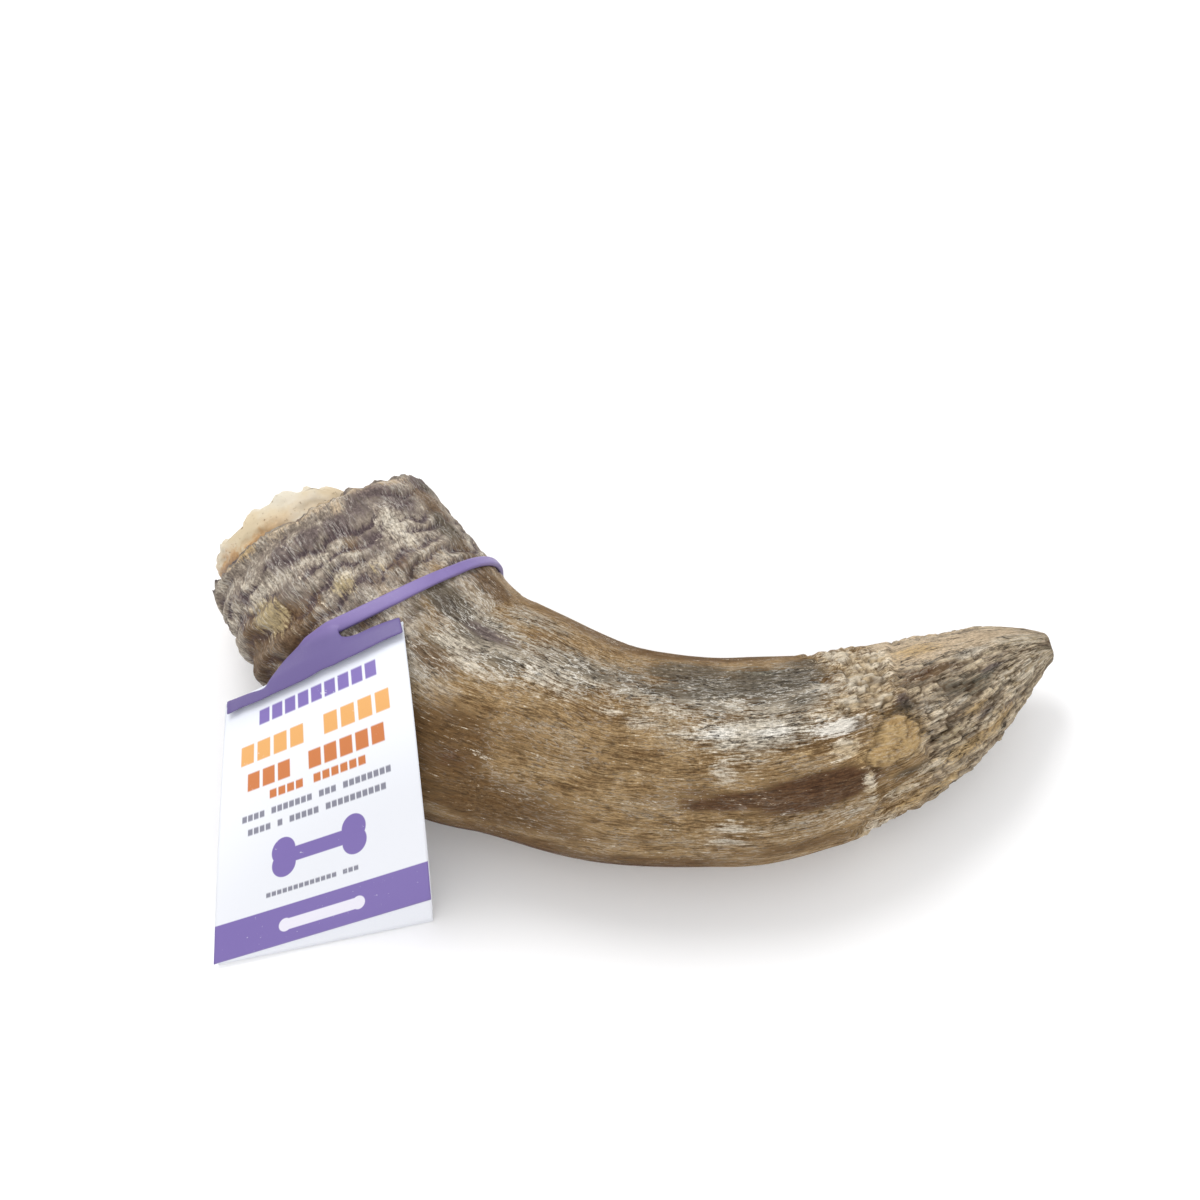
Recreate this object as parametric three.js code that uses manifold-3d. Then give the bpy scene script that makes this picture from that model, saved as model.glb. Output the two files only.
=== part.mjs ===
// Lamb horn dog chew, in millimetres, +Z up. A curved horn lies on its side with the hollow of its curve
// towards +Y and its tip towards +X. The bone core stands out of the broken base, and an elastic band round
// the neck holds a folded card tag, which hangs over the outer flank down to the surface.
// The origin is on that surface, under the flat that the belly of the horn has worn.

import * as THREE from 'three';
import { mergeVertices } from 'three/addons/utils/BufferGeometryUtils.js';
import Module from 'manifold-3d';

const wasm = await Module();
wasm.setup();

const { lerp, smoothstep, degToRad, radToDeg } = THREE.MathUtils;

// Stations along the middle of the horn, base first: the place of the centre, the width across the curve
// and the height.
const STATIONS = [
  { at: [-54.8, 45.9, 19.6], width: 47.7, height: 40 },
  { at: [-47.1, 32.4, 22.2], width: 50.3, height: 41 },
  { at: [-37, 19.6, 22.4], width: 49.5, height: 41.6 },
  { at: [-28.2, 11.6, 21.6], width: 49.4, height: 41.6 },
  { at: [-16, 6.8, 20.4], width: 46.4, height: 41 },
  { at: [2, 0.8, 19.1], width: 43, height: 39.6 },
  { at: [20, -0.7, 18.5], width: 41.2, height: 38.5 },
  { at: [32, 0, 17.9], width: 40.6, height: 37 },
  { at: [53.5, 6.3, 16.2], width: 34.4, height: 33 },
  { at: [68, 13.9, 15.6], width: 28.2, height: 26 },
  { at: [78, 20.5, 15], width: 19.5, height: 18 },
  { at: [86, 25, 14], width: 10.5, height: 11 },
  { at: [89.5, 26.5, 13.6], width: 6, height: 7 },
];

// The section is an oval with a faint third lobe, which keeps it from looking turned.
const LOBE = 0.022;
const LOBE_TURN = 0.6;

// Growth rings lean towards the tip on top, and this lean is gone by the middle of the horn.
const RING_LEAN = 4.6;
const LEAN_FADE = [45, 100];

// Growth ridges at the base, deepest on the outer flank.
const RIDGE_PITCH = 5.6;
const RIDGE_HEIGHT = 0.55;
const RIDGE_FADE = [20, 40];

// The outer layer breaks off in a ledge near the tip, at an uneven distance from the base.
const LEDGE_AT = 130;
const LEDGE_REACH = [20, 16];
const LEDGE_HEIGHT = 1;
const LEDGE_THICKENS_OVER = 12;
const LEDGE_FACE = 0.9;

// The ledge's course round the horn: [degrees round the section, distance from the base]. It juts out
// in a knob that stands higher than the rest.
const LEDGE_COURSE = [
  [-180, 128], [-120, 131], [-70, 139], [-25, 136], [10, 131.5], [32, 131], [42, 133.5], [52, 133.5],
  [62, 125], [76, 119], [92, 118.5], [120, 123], [180, 128],
];
const LEDGE_KNOB = { middle: 46, spread: 12, height: 1.1 };

// The chewed rim is uneven, and so is the blunt tip.
const RIM_WAVE = 0.7;
const RIM_WAVE_FADE = 9;
const TIP_ROUNDING = 1.6;

// The socket in the base: walls at the outer and inner side of the curve and above and below, and depth.
const WALL_OUTER = 1.9;
const WALL_INNER = 6.5;
const WALL_HEIGHT = 3.6;
const SOCKET_DEPTH = 26;
const SOCKET_TAPER = 0.42;

// The core stands out of the outer part of the socket and is broken off below the rim in the inner part.
const CORE_GAP = 0.5;
const CORE_STANDS = 9;
const CORE_SUNK = 2.6;
const CORE_BREAK = [-0.85, -0.05];
const CORE_LUMP = 0.6;

// The elastic band: a flat strap round the neck, and the web that carries the tag.
// Its course round the horn: [degrees round the section, distance from the base]. The tag pulls it
// towards the tip on the outer flank.
const BAND_COURSE = [
  [-180, 26], [-90, 29], [-60, 28], [-30, 26.6], [0, 24], [15, 22.6], [30, 21.2], [42, 21], [60, 22.4],
  [90, 24.4], [135, 25], [180, 26],
];
const BAND_WIDTH = 2.5;
const BAND_THICKNESS = 1.1;
const BAND_CLEAR = 0.38;
const BAND_LOWEST = 0.15;
const WEB_THICKNESS = 0.8;
const WEB_CLEAR = 0.45;
const WEB_BRIDGES = [-1.8, -1.2, -0.6, 0, 0.6];

// The tag: the corners of the front leaf and the lower corners of the rear leaf, seen from the front, how
// far the leaves bow out, and how much of that the rear leaf loses low down.
const CARD_THICKNESS = 0.44;
const CARD_TOP_LEFT = new THREE.Vector3(-72.7, 8.1, 24);
const CARD_TOP_RIGHT = new THREE.Vector3(-37.4, 15.6, 44.4);
const FRONT_LOW_LEFT = new THREE.Vector3(-75.2, -36.2, 0.9);
const FRONT_LOW_RIGHT = new THREE.Vector3(-33, -24.2, 5);
const REAR_LOW_LEFT = new THREE.Vector3(-74.4, -35.9, 0.25);
const REAR_LOW_RIGHT = new THREE.Vector3(-32.8, -26.8, 0.25);
const CARD_BOW_LEFT = 6.5;
const CARD_BOW_RIGHT = 12.4;
const CARD_BOW_ACROSS = 4.8;
const CARD_BOW_LEANS = 0.09;
const REAR_SLACK = 38;
const FOLD_RADIUS = 0.55;

// The tag faces up and forward at this elevation. Its card bows out this way over the horn, and its web is
// cut flat in a plane that faces this way, then pressed onto the horn and the head of the card.
const TAG_ELEVATION = 62;

// The stretch of the horn, from its base, that the band and the web may lie on.
const NECK = [2, 50];

// The web's lower and upper edge in that plane, from left to right: [across, up] in millimetres. Its lower
// part is a bar along the whole head of the card.
const WEB_LOWER = [
  [-72.3, 17.1], [-69.8, 18.3], [-67.3, 19.3], [-64.8, 20.3], [-63.2, 21.1], [-60.5, 22.3], [-57.8, 23.5],
  [-55.3, 24.7], [-52.9, 26.1], [-50.7, 27], [-48.6, 28], [-46.6, 28.9], [-43.7, 30.3], [-40.7, 31.8],
  [-37.2, 33.3],
];
const WEB_UPPER = [
  [-72.4, 19.7], [-70, 20.6], [-67.3, 21.6], [-64.6, 22.5], [-63.2, 24.4], [-60.7, 27.7], [-57.9, 30.6],
  [-55.4, 32.9], [-53, 35], [-51.1, 36.2], [-50, 35.8], [-49.2, 34], [-46.4, 33.2], [-42.2, 34.7],
  [-38, 36.2],
];

// How finely the shapes are faceted. The rings are close together over the ridges and at the ledge.
const AROUND = 36;
const RIM_ROUNDING = 0.8;
const RIDGED_TO = 45;
const RIDGED_RINGS = 38;
const SMOOTH_FROM = 49;
const SMOOTH_RINGS = 18;
const LEDGE_RINGS = [-8, -4, -LEDGE_FACE / 2, LEDGE_FACE / 2];
const TIP_FROM = 4;
const TIP_RINGS = 12;
const SOCKET_RINGS = [26, 23, 20, 17, 14, 11, 8, 3, 0.9];
const CORE_RINGS = 11;
const CORE_END_RINGS = [0.9, 0.65, 0.35];
const NECK_RINGS = 24;
const BAND_STEPS = 72;
const CARD_ACROSS = 10;
const CARD_ALONG = 12;
const WEB_ROWS = 6;

const axis = new THREE.CatmullRomCurve3(STATIONS.map(({ at }) => new THREE.Vector3(...at)));
axis.arcLengthDivisions = 800;
const sizes = new THREE.CatmullRomCurve3(
  STATIONS.map(({ width, height }) => new THREE.Vector3(width, height, 0)), false, 'catmullrom', 0.5,
);
const HORN_LENGTH = axis.getLength();

// The centre, directions and half sizes of the horn's section at a distance from its base.
function sectionAt(distance) {
  const part = THREE.MathUtils.clamp(distance / HORN_LENGTH, 0, 1);
  const t = axis.getUtoTmapping(part);
  const forward = axis.getTangent(t);
  const centre = axis.getPoint(t).addScaledVector(forward, distance - part * HORN_LENGTH);
  const up = new THREE.Vector3(0, 0, 1).addScaledVector(forward, -forward.z).normalize();
  const out = new THREE.Vector3().crossVectors(forward, up);
  const size = sizes.getPoint(t);
  return { centre, up, out, halfWidth: size.x / 2, halfHeight: size.y / 2 };
}

// A hump that is 1 at the ledge and 0 beyond its reach.
function nearLedge(distance) {
  const reach = distance < LEDGE_AT ? LEDGE_REACH[0] : LEDGE_REACH[1];
  return 1 - smoothstep(Math.abs(distance - LEDGE_AT), 0, reach);
}

// Angles round the section start at the top and turn towards the outer side of the curve.
function degreesRound(angle) {
  return radToDeg(Math.atan2(Math.sin(angle), Math.cos(angle)));
}

function knob(angle) {
  return Math.exp(-(((degreesRound(angle) - LEDGE_KNOB.middle) / LEDGE_KNOB.spread) ** 2));
}

// The distance from the base of a course that is given at some angles.
function courseAt(course, angle) {
  const degrees = degreesRound(angle);
  const next = Math.max(course.findIndex(([at]) => at >= degrees), 1);
  const [from, near] = course[next - 1];
  const [to, far] = course[next];
  return lerp(near, far, (degrees - from) / (to - from));
}

function rimWave(angle) {
  return RIM_WAVE * (Math.sin(3 * angle + 1) + 0.6 * Math.sin(8 * angle));
}

// Where the growth ring that starts at a distance from the base lies on the axis at an angle.
function ringPlace(ring, angle) {
  const lean = RING_LEAN * Math.cos(angle) * (1 - smoothstep(ring, ...LEAN_FADE));
  const rim = rimWave(angle) * (1 - smoothstep(Math.abs(ring), 0, RIM_WAVE_FADE));
  return ring + lean + rim + (courseAt(LEDGE_COURSE, angle) - LEDGE_AT) * nearLedge(ring);
}

// The height of the growth ridges' crests above the oval section.
function crest(ring, angle) {
  return RIDGE_HEIGHT * (0.6 + 0.4 * Math.sin(angle)) * (1 - smoothstep(ring, ...RIDGE_FADE));
}

function ridge(ring, angle) {
  const phase = (2 * Math.PI * ring) / RIDGE_PITCH + 0.9 * Math.sin(2 * angle) + 0.5 * Math.sin(5 * angle);
  return crest(ring, angle) * Math.sin(phase);
}

function ledge(ring, angle) {
  const height = LEDGE_HEIGHT * (0.45 + 0.55 * Math.cos(angle - 0.4)) + LEDGE_KNOB.height * knob(angle);
  const past = ring - LEDGE_AT;
  const side = THREE.MathUtils.clamp(-past / (LEDGE_FACE / 2), -1, 1);
  return height * side * Math.exp(-Math.abs(past) / LEDGE_THICKENS_OVER);
}

// A point of the oval section, moved outwards by a lift.
function ovalPoint(distance, angle, lift) {
  const { centre, up, out, halfWidth, halfHeight } = sectionAt(distance);
  const lobes = 1 + LOBE * Math.cos(3 * (angle + LOBE_TURN));
  return centre
    .addScaledVector(up, (halfHeight * lobes + lift) * Math.cos(angle))
    .addScaledVector(out, (halfWidth * lobes + lift) * Math.sin(angle));
}

function skinPoint(ring, angle) {
  const point = ovalPoint(ringPlace(ring, angle), angle, ridge(ring, angle) + ledge(ring, angle));
  point.z = Math.max(point.z, 0);
  return point;
}

// A point of the socket's wall, or inside it where fill is under 1. Inset leaves a gap to the wall.
function socketPoint(ring, angle, inset = 0, fill = 1) {
  const distance = ringPlace(ring, angle);
  const { centre, up, out, halfWidth, halfHeight } = sectionAt(distance);
  const depth = Math.max(ring, 0) / SOCKET_DEPTH;
  const taper = fill * (1 - SOCKET_TAPER * depth ** 2);
  const width = taper * (halfWidth - (WALL_OUTER + WALL_INNER) / 2 - inset);
  const height = taper * (halfHeight - WALL_HEIGHT - inset);
  return centre
    .addScaledVector(up, height * Math.cos(angle))
    .addScaledVector(out, width * Math.sin(angle) + (WALL_INNER - WALL_OUTER) / 2);
}

function angles(count) {
  return Array.from({ length: count }, (_, i) => (2 * Math.PI * i) / count);
}

function steps(from, to, count) {
  return Array.from({ length: count + 1 }, (_, i) => lerp(from, to, i / count));
}

function average(points) {
  const sum = points.reduce((total, point) => total.add(point), new THREE.Vector3());
  return sum.divideScalar(points.length);
}

function signedVolume(points, index) {
  let volume = 0;
  const cross = new THREE.Vector3();
  for (let i = 0; i < index.length; i += 3) {
    const [a, b, c] = [points[index[i]], points[index[i + 1]], points[index[i + 2]]];
    volume += a.dot(cross.crossVectors(b, c)) / 6;
  }
  return volume;
}

// A geometry with its faces turned outwards.
function closedGeometry(points, index) {
  const turned = signedVolume(points, index) < 0 ? index.toReversed() : index;
  const geometry = new THREE.BufferGeometry();
  geometry.setAttribute('position', new THREE.Float32BufferAttribute(points.flatMap((p) => p.toArray()), 3));
  geometry.setIndex(turned);
  return geometry;
}

// A closed skin over rings of points, with a single point at each end.
function ringSkin(firstPoint, rings, lastPoint) {
  const count = rings[0].length;
  const points = [firstPoint, ...rings.flat(), lastPoint];
  const index = [];
  const at = (ring, i) => 1 + ring * count + (i % count);
  for (let i = 0; i < count; i += 1) {
    index.push(0, at(0, i + 1), at(0, i));
    index.push(points.length - 1, at(rings.length - 1, i), at(rings.length - 1, i + 1));
    for (let ring = 0; ring + 1 < rings.length; ring += 1) {
      index.push(at(ring, i), at(ring, i + 1), at(ring + 1, i));
      index.push(at(ring, i + 1), at(ring + 1, i + 1), at(ring + 1, i));
    }
  }
  return closedGeometry(points, index);
}

// A tube through rings of points that closes on itself.
function loopSkin(rings) {
  const count = rings[0].length;
  const index = [];
  const at = (ring, i) => (ring % rings.length) * count + (i % count);
  for (let ring = 0; ring < rings.length; ring += 1) {
    for (let i = 0; i < count; i += 1) {
      index.push(at(ring, i), at(ring, i + 1), at(ring + 1, i));
      index.push(at(ring, i + 1), at(ring + 1, i + 1), at(ring + 1, i));
    }
  }
  return closedGeometry(rings.flat(), index);
}

// A sheet of even thickness about a grid of points, given as columns of rows. The thickness is square to
// the sheet unless a direction is given.
function sheetSolid(columns, thickness, direction) {
  const across = columns.length;
  const along = columns[0].length;
  const clampedPoint = (c, r) => columns[THREE.MathUtils.clamp(c, 0, across - 1)][
    THREE.MathUtils.clamp(r, 0, along - 1)];
  const sides = [[], []];
  for (let c = 0; c < across; c += 1) {
    for (let r = 0; r < along; r += 1) {
      const acrossWay = clampedPoint(c + 1, r).clone().sub(clampedPoint(c - 1, r));
      const alongWay = clampedPoint(c, r + 1).clone().sub(clampedPoint(c, r - 1));
      const normal = direction ?? acrossWay.cross(alongWay).normalize();
      sides[0].push(columns[c][r].clone().addScaledVector(normal, thickness / 2));
      sides[1].push(columns[c][r].clone().addScaledVector(normal, -thickness / 2));
    }
  }
  const index = [];
  const at = (side, c, r) => side * across * along + c * along + r;
  const quad = (a, b, c, d) => index.push(a, b, c, a, c, d);
  for (let c = 0; c + 1 < across; c += 1) {
    for (let r = 0; r + 1 < along; r += 1) {
      quad(at(0, c, r), at(0, c + 1, r), at(0, c + 1, r + 1), at(0, c, r + 1));
      quad(at(1, c, r), at(1, c, r + 1), at(1, c + 1, r + 1), at(1, c + 1, r));
    }
    quad(at(0, c, 0), at(1, c, 0), at(1, c + 1, 0), at(0, c + 1, 0));
    quad(at(0, c, along - 1), at(0, c + 1, along - 1), at(1, c + 1, along - 1), at(1, c, along - 1));
  }
  for (let r = 0; r + 1 < along; r += 1) {
    quad(at(0, 0, r), at(0, 0, r + 1), at(1, 0, r + 1), at(1, 0, r));
    quad(at(0, across - 1, r), at(1, across - 1, r), at(1, across - 1, r + 1), at(0, across - 1, r + 1));
  }
  return closedGeometry(sides.flat(), index);
}

function sheathGeometry() {
  const ring = (place, point) => angles(AROUND).map((angle) => point(place, angle));
  const halfWall = (place, angle) => skinPoint(place, angle).lerp(socketPoint(place, angle), 0.5);
  const socket = SOCKET_RINGS.map((place) => ring(place, socketPoint));
  const rim = ring(0, halfWall);
  const skin = [
    ...steps(RIM_ROUNDING, RIDGED_TO, RIDGED_RINGS),
    ...steps(SMOOTH_FROM, LEDGE_AT + LEDGE_RINGS[0], SMOOTH_RINGS).slice(0, -1),
    ...LEDGE_RINGS.map((past) => LEDGE_AT + past),
    ...steps(LEDGE_AT + TIP_FROM, HORN_LENGTH, TIP_RINGS),
  ].map((place) => ring(place, skinPoint));
  const socketEnd = average(socket[0]);
  const tip = average(skin.at(-1)).add(new THREE.Vector3(TIP_ROUNDING, 0, 0));
  return ringSkin(socketEnd, [...socket, rim, ...skin], tip);
}

// How far the core's broken end stands out of the rim, for a place across the socket from -1 to 1.
function coreStands(across) {
  return lerp(-CORE_SUNK, CORE_STANDS, smoothstep(across, ...CORE_BREAK));
}

function coreGeometry() {
  const side = (depth) => angles(AROUND).map((angle) => {
    const outer = -coreStands(Math.sin(angle));
    return socketPoint(lerp(SOCKET_DEPTH - CORE_GAP, outer, depth), angle, CORE_GAP);
  });
  const end = (fill) => angles(AROUND).map((angle) => {
    const across = fill * Math.sin(angle);
    const lump = CORE_LUMP * (Math.sin(5 * across + 2) + Math.sin(4 * fill * Math.cos(angle)) - fill ** 2);
    return socketPoint(-coreStands(across) - lump, angle, CORE_GAP, fill);
  });
  const rings = [...steps(0, 1, CORE_RINGS).map(side), ...CORE_END_RINGS.map(end)];
  return ringSkin(average(rings[0]), rings, average(rings.at(-1)));
}

// The strap lies on the crests of the ridges all the way round.
function strapGeometry() {
  const corners = [[-1, 0], [1, 0], [1, 1], [-1, 1]];
  const rings = angles(BAND_STEPS).map((angle) => corners.map(([sideways, outwards]) => {
    const ring = courseAt(BAND_COURSE, angle) + (sideways * BAND_WIDTH) / 2;
    const lift = crest(ring, angle) + BAND_CLEAR + outwards * BAND_THICKNESS;
    const point = ovalPoint(ringPlace(ring, angle), angle, lift);
    point.z = Math.max(point.z, BAND_LOWEST + (1 - outwards) * BAND_THICKNESS);
    return point;
  }));
  return loopSkin(rings);
}

const tagFacing = new THREE.Vector3(0, -Math.cos(degToRad(TAG_ELEVATION)), Math.sin(degToRad(TAG_ELEVATION)));

// The tag's card: u runs from left to right and v from the fold to the lower edge.
const cardFacing = new THREE.Vector3().crossVectors(
  FRONT_LOW_RIGHT.clone().sub(FRONT_LOW_LEFT), CARD_TOP_LEFT.clone().sub(FRONT_LOW_LEFT),
).normalize();
const cardUp = CARD_TOP_LEFT.clone().sub(FRONT_LOW_LEFT).normalize();

function leafPoint(u, v, lowLeft, lowRight, behind) {
  const left = CARD_TOP_LEFT.clone().lerp(lowLeft, v);
  const right = CARD_TOP_RIGHT.clone().lerp(lowRight, v);
  const bow = lerp(CARD_BOW_LEFT, CARD_BOW_RIGHT, u) * Math.sin(Math.PI * v ** 0.9);
  const round = CARD_BOW_ACROSS * (1 - (2 * u - 1) ** 2) * (1 - v) ** 1.5;
  const point = left.lerp(right, u).addScaledVector(tagFacing, bow + round);
  point.x += CARD_BOW_LEANS * bow;
  return point.addScaledVector(cardFacing, -behind);
}

function frontPoint(u, v) {
  return leafPoint(u, v, FRONT_LOW_LEFT, FRONT_LOW_RIGHT, 0);
}

// The rear leaf bows less than the front one above its lower edge, most of all on the right.
function rearPoint(u, v) {
  const slack = REAR_SLACK * u ** 1.5 * v ** 5 * (1 - v);
  return leafPoint(u, v, REAR_LOW_LEFT, REAR_LOW_RIGHT, 2 * FOLD_RADIUS * (1 - v))
    .addScaledVector(tagFacing, -slack);
}

function cardGeometry() {
  const columns = steps(0, 1, CARD_ACROSS).map((u) => {
    const front = steps(1, 0, CARD_ALONG).map((v) => frontPoint(u, v));
    const rear = steps(0, 1, CARD_ALONG).map((v) => rearPoint(u, v));
    const foldCentre = front.at(-1).clone().lerp(rear[0], 0.5);
    const fold = [45, 90, 135].map(degToRad).map((turn) => foldCentre.clone()
      .addScaledVector(cardFacing, FOLD_RADIUS * Math.cos(turn))
      .addScaledVector(cardUp, FOLD_RADIUS * Math.sin(turn)));
    return [...front, ...fold, ...rear];
  });
  return sheetSolid(columns, CARD_THICKNESS);
}

// The neck of the horn as a smooth skin over the crests of its ridges.
function crestMesh() {
  const rings = steps(...NECK, NECK_RINGS).map((ring) => angles(2 * AROUND).map(
    (angle) => ovalPoint(ringPlace(ring, angle), angle, crest(ring, angle))));
  return new THREE.Mesh(ringSkin(average(rings[0]), rings, average(rings.at(-1))));
}

// The web is draped over the horn and the head of the card along the direction that its plane faces. From
// its lower to its upper edge it is pulled taut, so that it bridges every hollow, and where nothing lies
// under it, it stays level.
function webGeometry(card) {
  const supports = [crestMesh(), card];
  const upward = new THREE.Vector3(0, tagFacing.z, -tagFacing.y);
  const farOut = 200;
  const caster = new THREE.Raycaster();
  const flatPoint = (across, up) => new THREE.Vector3(across, 0, 0).addScaledVector(upward, up);
  const heightAt = (across, up) => {
    const start = flatPoint(across, up).addScaledVector(tagFacing, farOut);
    caster.set(start, tagFacing.clone().negate());
    const [hit] = caster.intersectObjects(supports);
    return hit ? farOut - hit.distance : -farOut;
  };
  const taut = (heights, row) => {
    const spans = heights.slice(0, row + 1).flatMap((low, i) => heights.slice(row).map(
      (high, j) => (i === row ? low : lerp(low, high, (row - i) / (row + j - i)))));
    return Math.max(...spans);
  };
  const columns = WEB_LOWER.map((lower, i) => {
    const places = steps(0, 1, WEB_ROWS).map((part) => [
      lerp(lower[0], WEB_UPPER[i][0], part), lerp(lower[1], WEB_UPPER[i][1], part)]);
    const hits = places.map(([across, up]) => Math.max(
      ...WEB_BRIDGES.map((off) => heightAt(across, up + off))));
    const heights = hits.map((height, row) => (height > -farOut ? height : hits.findLast(
      (earlier, i) => i < row && earlier > -farOut)));
    return places.map(([across, up], row) => flatPoint(across, up)
      .addScaledVector(tagFacing, taut(heights, row) + WEB_CLEAR + WEB_THICKNESS / 2));
  });
  return sheetSolid(columns, WEB_THICKNESS, tagFacing.clone().negate());
}

function toManifold(geometry) {
  const plain = geometry.clone();
  plain.deleteAttribute('normal');
  plain.deleteAttribute('uv');
  const merged = mergeVertices(plain);
  const vertProperties = new Float32Array(merged.attributes.position.array);
  const triVerts = new Uint32Array(merged.index.array);
  return new wasm.Manifold(new wasm.Mesh({ numProp: 3, vertProperties, triVerts }));
}

function fromManifold(solid) {
  const { vertProperties, triVerts } = solid.getMesh();
  const geometry = new THREE.BufferGeometry();
  geometry.setAttribute('position', new THREE.BufferAttribute(vertProperties, 3));
  geometry.setIndex(new THREE.BufferAttribute(triVerts, 1));
  return geometry;
}

function part(name, geometry, color, roughness) {
  geometry.computeVertexNormals();
  const mesh = new THREE.Mesh(geometry, new THREE.MeshStandardMaterial({ color, roughness, metalness: 0 }));
  mesh.name = name;
  return mesh;
}

const model = new THREE.Group();
const sheath = part('horn_sheath', sheathGeometry(), 0x8f8068, 0.8);
const core = part('bone_core', coreGeometry(), 0xd9cbb0, 0.85);
const card = part('tag_card', cardGeometry(), 0xf7f7fa, 0.6);
const bandSolid = toManifold(strapGeometry()).add(toManifold(webGeometry(card)));
const band = part('tag_band', fromManifold(bandSolid), 0x8673a8, 0.55);
model.add(sheath, core, band, card);

export default model;
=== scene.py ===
"""A lamb horn dog chew with its bone core, and the elastic band and folded card tag round its neck.

The add-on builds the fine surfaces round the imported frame, in metres, with +Z up from the surface that the
horn lies on. Lengths in the tables and formulas are in millimetres, and MM turns them into metres.
"""

import math

import bmesh
import bpy
import numpy as np
from bpy.props import FloatProperty, FloatVectorProperty, IntProperty, PointerProperty
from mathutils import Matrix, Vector, noise
from mathutils.bvhtree import BVHTree


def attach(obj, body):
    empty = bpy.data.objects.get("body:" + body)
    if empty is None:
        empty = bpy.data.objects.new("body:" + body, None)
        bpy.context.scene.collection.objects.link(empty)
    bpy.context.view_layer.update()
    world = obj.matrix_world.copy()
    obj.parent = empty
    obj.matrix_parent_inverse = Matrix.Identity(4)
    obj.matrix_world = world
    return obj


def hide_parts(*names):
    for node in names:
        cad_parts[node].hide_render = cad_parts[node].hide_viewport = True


bl_info = {
    "name": "Lamb Horn Chew",
    "version": (1, 0, 0),
    "blender": (4, 5, 0),
    "location": "3D View > Sidebar > Horn Chew",
    "description": "Builds a lamb horn chew with its bone core, elastic band and card tag",
    "category": "Object",
}

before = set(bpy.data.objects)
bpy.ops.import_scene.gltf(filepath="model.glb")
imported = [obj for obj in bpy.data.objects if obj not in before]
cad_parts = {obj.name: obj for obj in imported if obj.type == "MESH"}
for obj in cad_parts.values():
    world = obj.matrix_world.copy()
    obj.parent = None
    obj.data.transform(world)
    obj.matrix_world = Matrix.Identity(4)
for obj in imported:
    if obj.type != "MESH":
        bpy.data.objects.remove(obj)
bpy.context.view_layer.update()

MM = 0.001
BODY = "root"


def srgb(red, green, blue):
    """A colour given in screen values from 0 to 255, as the linear values that shaders take."""
    shares = [value / 255 for value in (red, green, blue)]
    return tuple(s / 12.92 if s <= 0.04045 else ((s + 0.055) / 1.055) ** 2.4 for s in shares) + (1.0,)


def clamp(value, low=0.0, high=1.0):
    return min(max(value, low), high)


def lerp(start, end, share):
    return start + (end - start) * share


def smoothstep(value, low, high):
    share = clamp((value - low) / (high - low))
    return share * share * (3 - 2 * share)


def steps(start, end, count):
    """Even steps from start to end, both included."""
    return [lerp(start, end, i / count) for i in range(count + 1)]


# The horn's middle line, base first: the centre's place, the width across the curve and the height.
STATIONS = [
    ((-54.8, 45.9, 19.6), 47.7, 40),
    ((-47.1, 32.4, 22.2), 50.3, 41),
    ((-37, 19.6, 22.4), 49.5, 41.6),
    ((-28.2, 11.6, 21.6), 49.4, 41.6),
    ((-16, 6.8, 20.4), 46.4, 41),
    ((2, 0.8, 19.1), 43, 39.6),
    ((20, -0.7, 18.5), 41.2, 38.5),
    ((32, 0, 17.9), 40.6, 37),
    ((53.5, 6.3, 16.2), 34.4, 33),
    ((68, 13.9, 15.6), 28.2, 26),
    ((78, 20.5, 15), 19.5, 18),
    ((86, 25, 14), 10.5, 11),
    ((89.5, 26.5, 13.6), 6, 7),
]
LOBE = 0.022
LOBE_TURN = 0.6
RING_LEAN = 4.6
LEAN_FADE = (45, 100)
GIRTH = 22

# The relief gets lower where half the horn's width is under this.
THIN_HALF = 12

# Growth ridges and finer folds at the base, and the places along the horn where they fade.
RIDGE_PITCH = 5.6
RIDGE_FADE = (20, 40)
FOLD_PITCH = 3.7
FOLD_FADE = (22, 38)
BASE_LOOKS_FADE = (22, 42)

# The crowded rings on the hollow side of the bend: places along it, degrees round it, and smoothing rounds.
BEND_PLACES = (32, 51)
BEND_DEGREES = (-165, -45)
BEND_ROUNDS = 90

# The broken edge of the outer layer, as [degrees round the section, distance from the base].
LEDGE_AT = 130
LEDGE_REACH_BEFORE = 20
LEDGE_REACH_PAST = 16
LEDGE_THICKENS_OVER = 12
LEDGE_COURSE = [
    (-180, 128), (-120, 131), (-70, 139), (-25, 136), (10, 131.5), (32, 131), (42, 133.5), (52, 133.5),
    (62, 125), (76, 119), (92, 118.5), (120, 123), (180, 128),
]

# Knob, lump and flap on the ledge: (place along the horn, degrees round it, half length, half width).
KNOB = (129, 29, 4.6, 13.5)
KNOB_LUMP = (125, 37, 3.4, 7)
KNOB_HEIGHT = 1.7
KNOB_CRACKS = (127.2, 31)
FLAP = (121.4, 56, 0.95, 12)
FLAP_HEIGHT = 0.7

# Crumbs lie before the ledge, and broken bundles past it, but few on the smooth side of the tip.
CRUMBS_BEGIN = (115, 122)
CRUMBS_END = (131, 134.5)
SMOOTH_SIDE = (-33, 24)
TIP_LOOKS_FROM = (130, 137)
CHIP_AT = 24
CHIP_HALF_WIDTH = 13
CHIP_DEPTH = 2.6
CHIP_LENGTH = 7
TIP_STANDS = 1.4

# The torn rim: its waves, its teeth and the longer frayed ones (degrees round it, half width).
RIM_WAVE = 0.7
RIM_WAVE_FADE = 9
RIM_TATTER_FADE = 2.2
LEDGE_TATTER_FADE = 9
FRAY = (84, 16)

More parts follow.
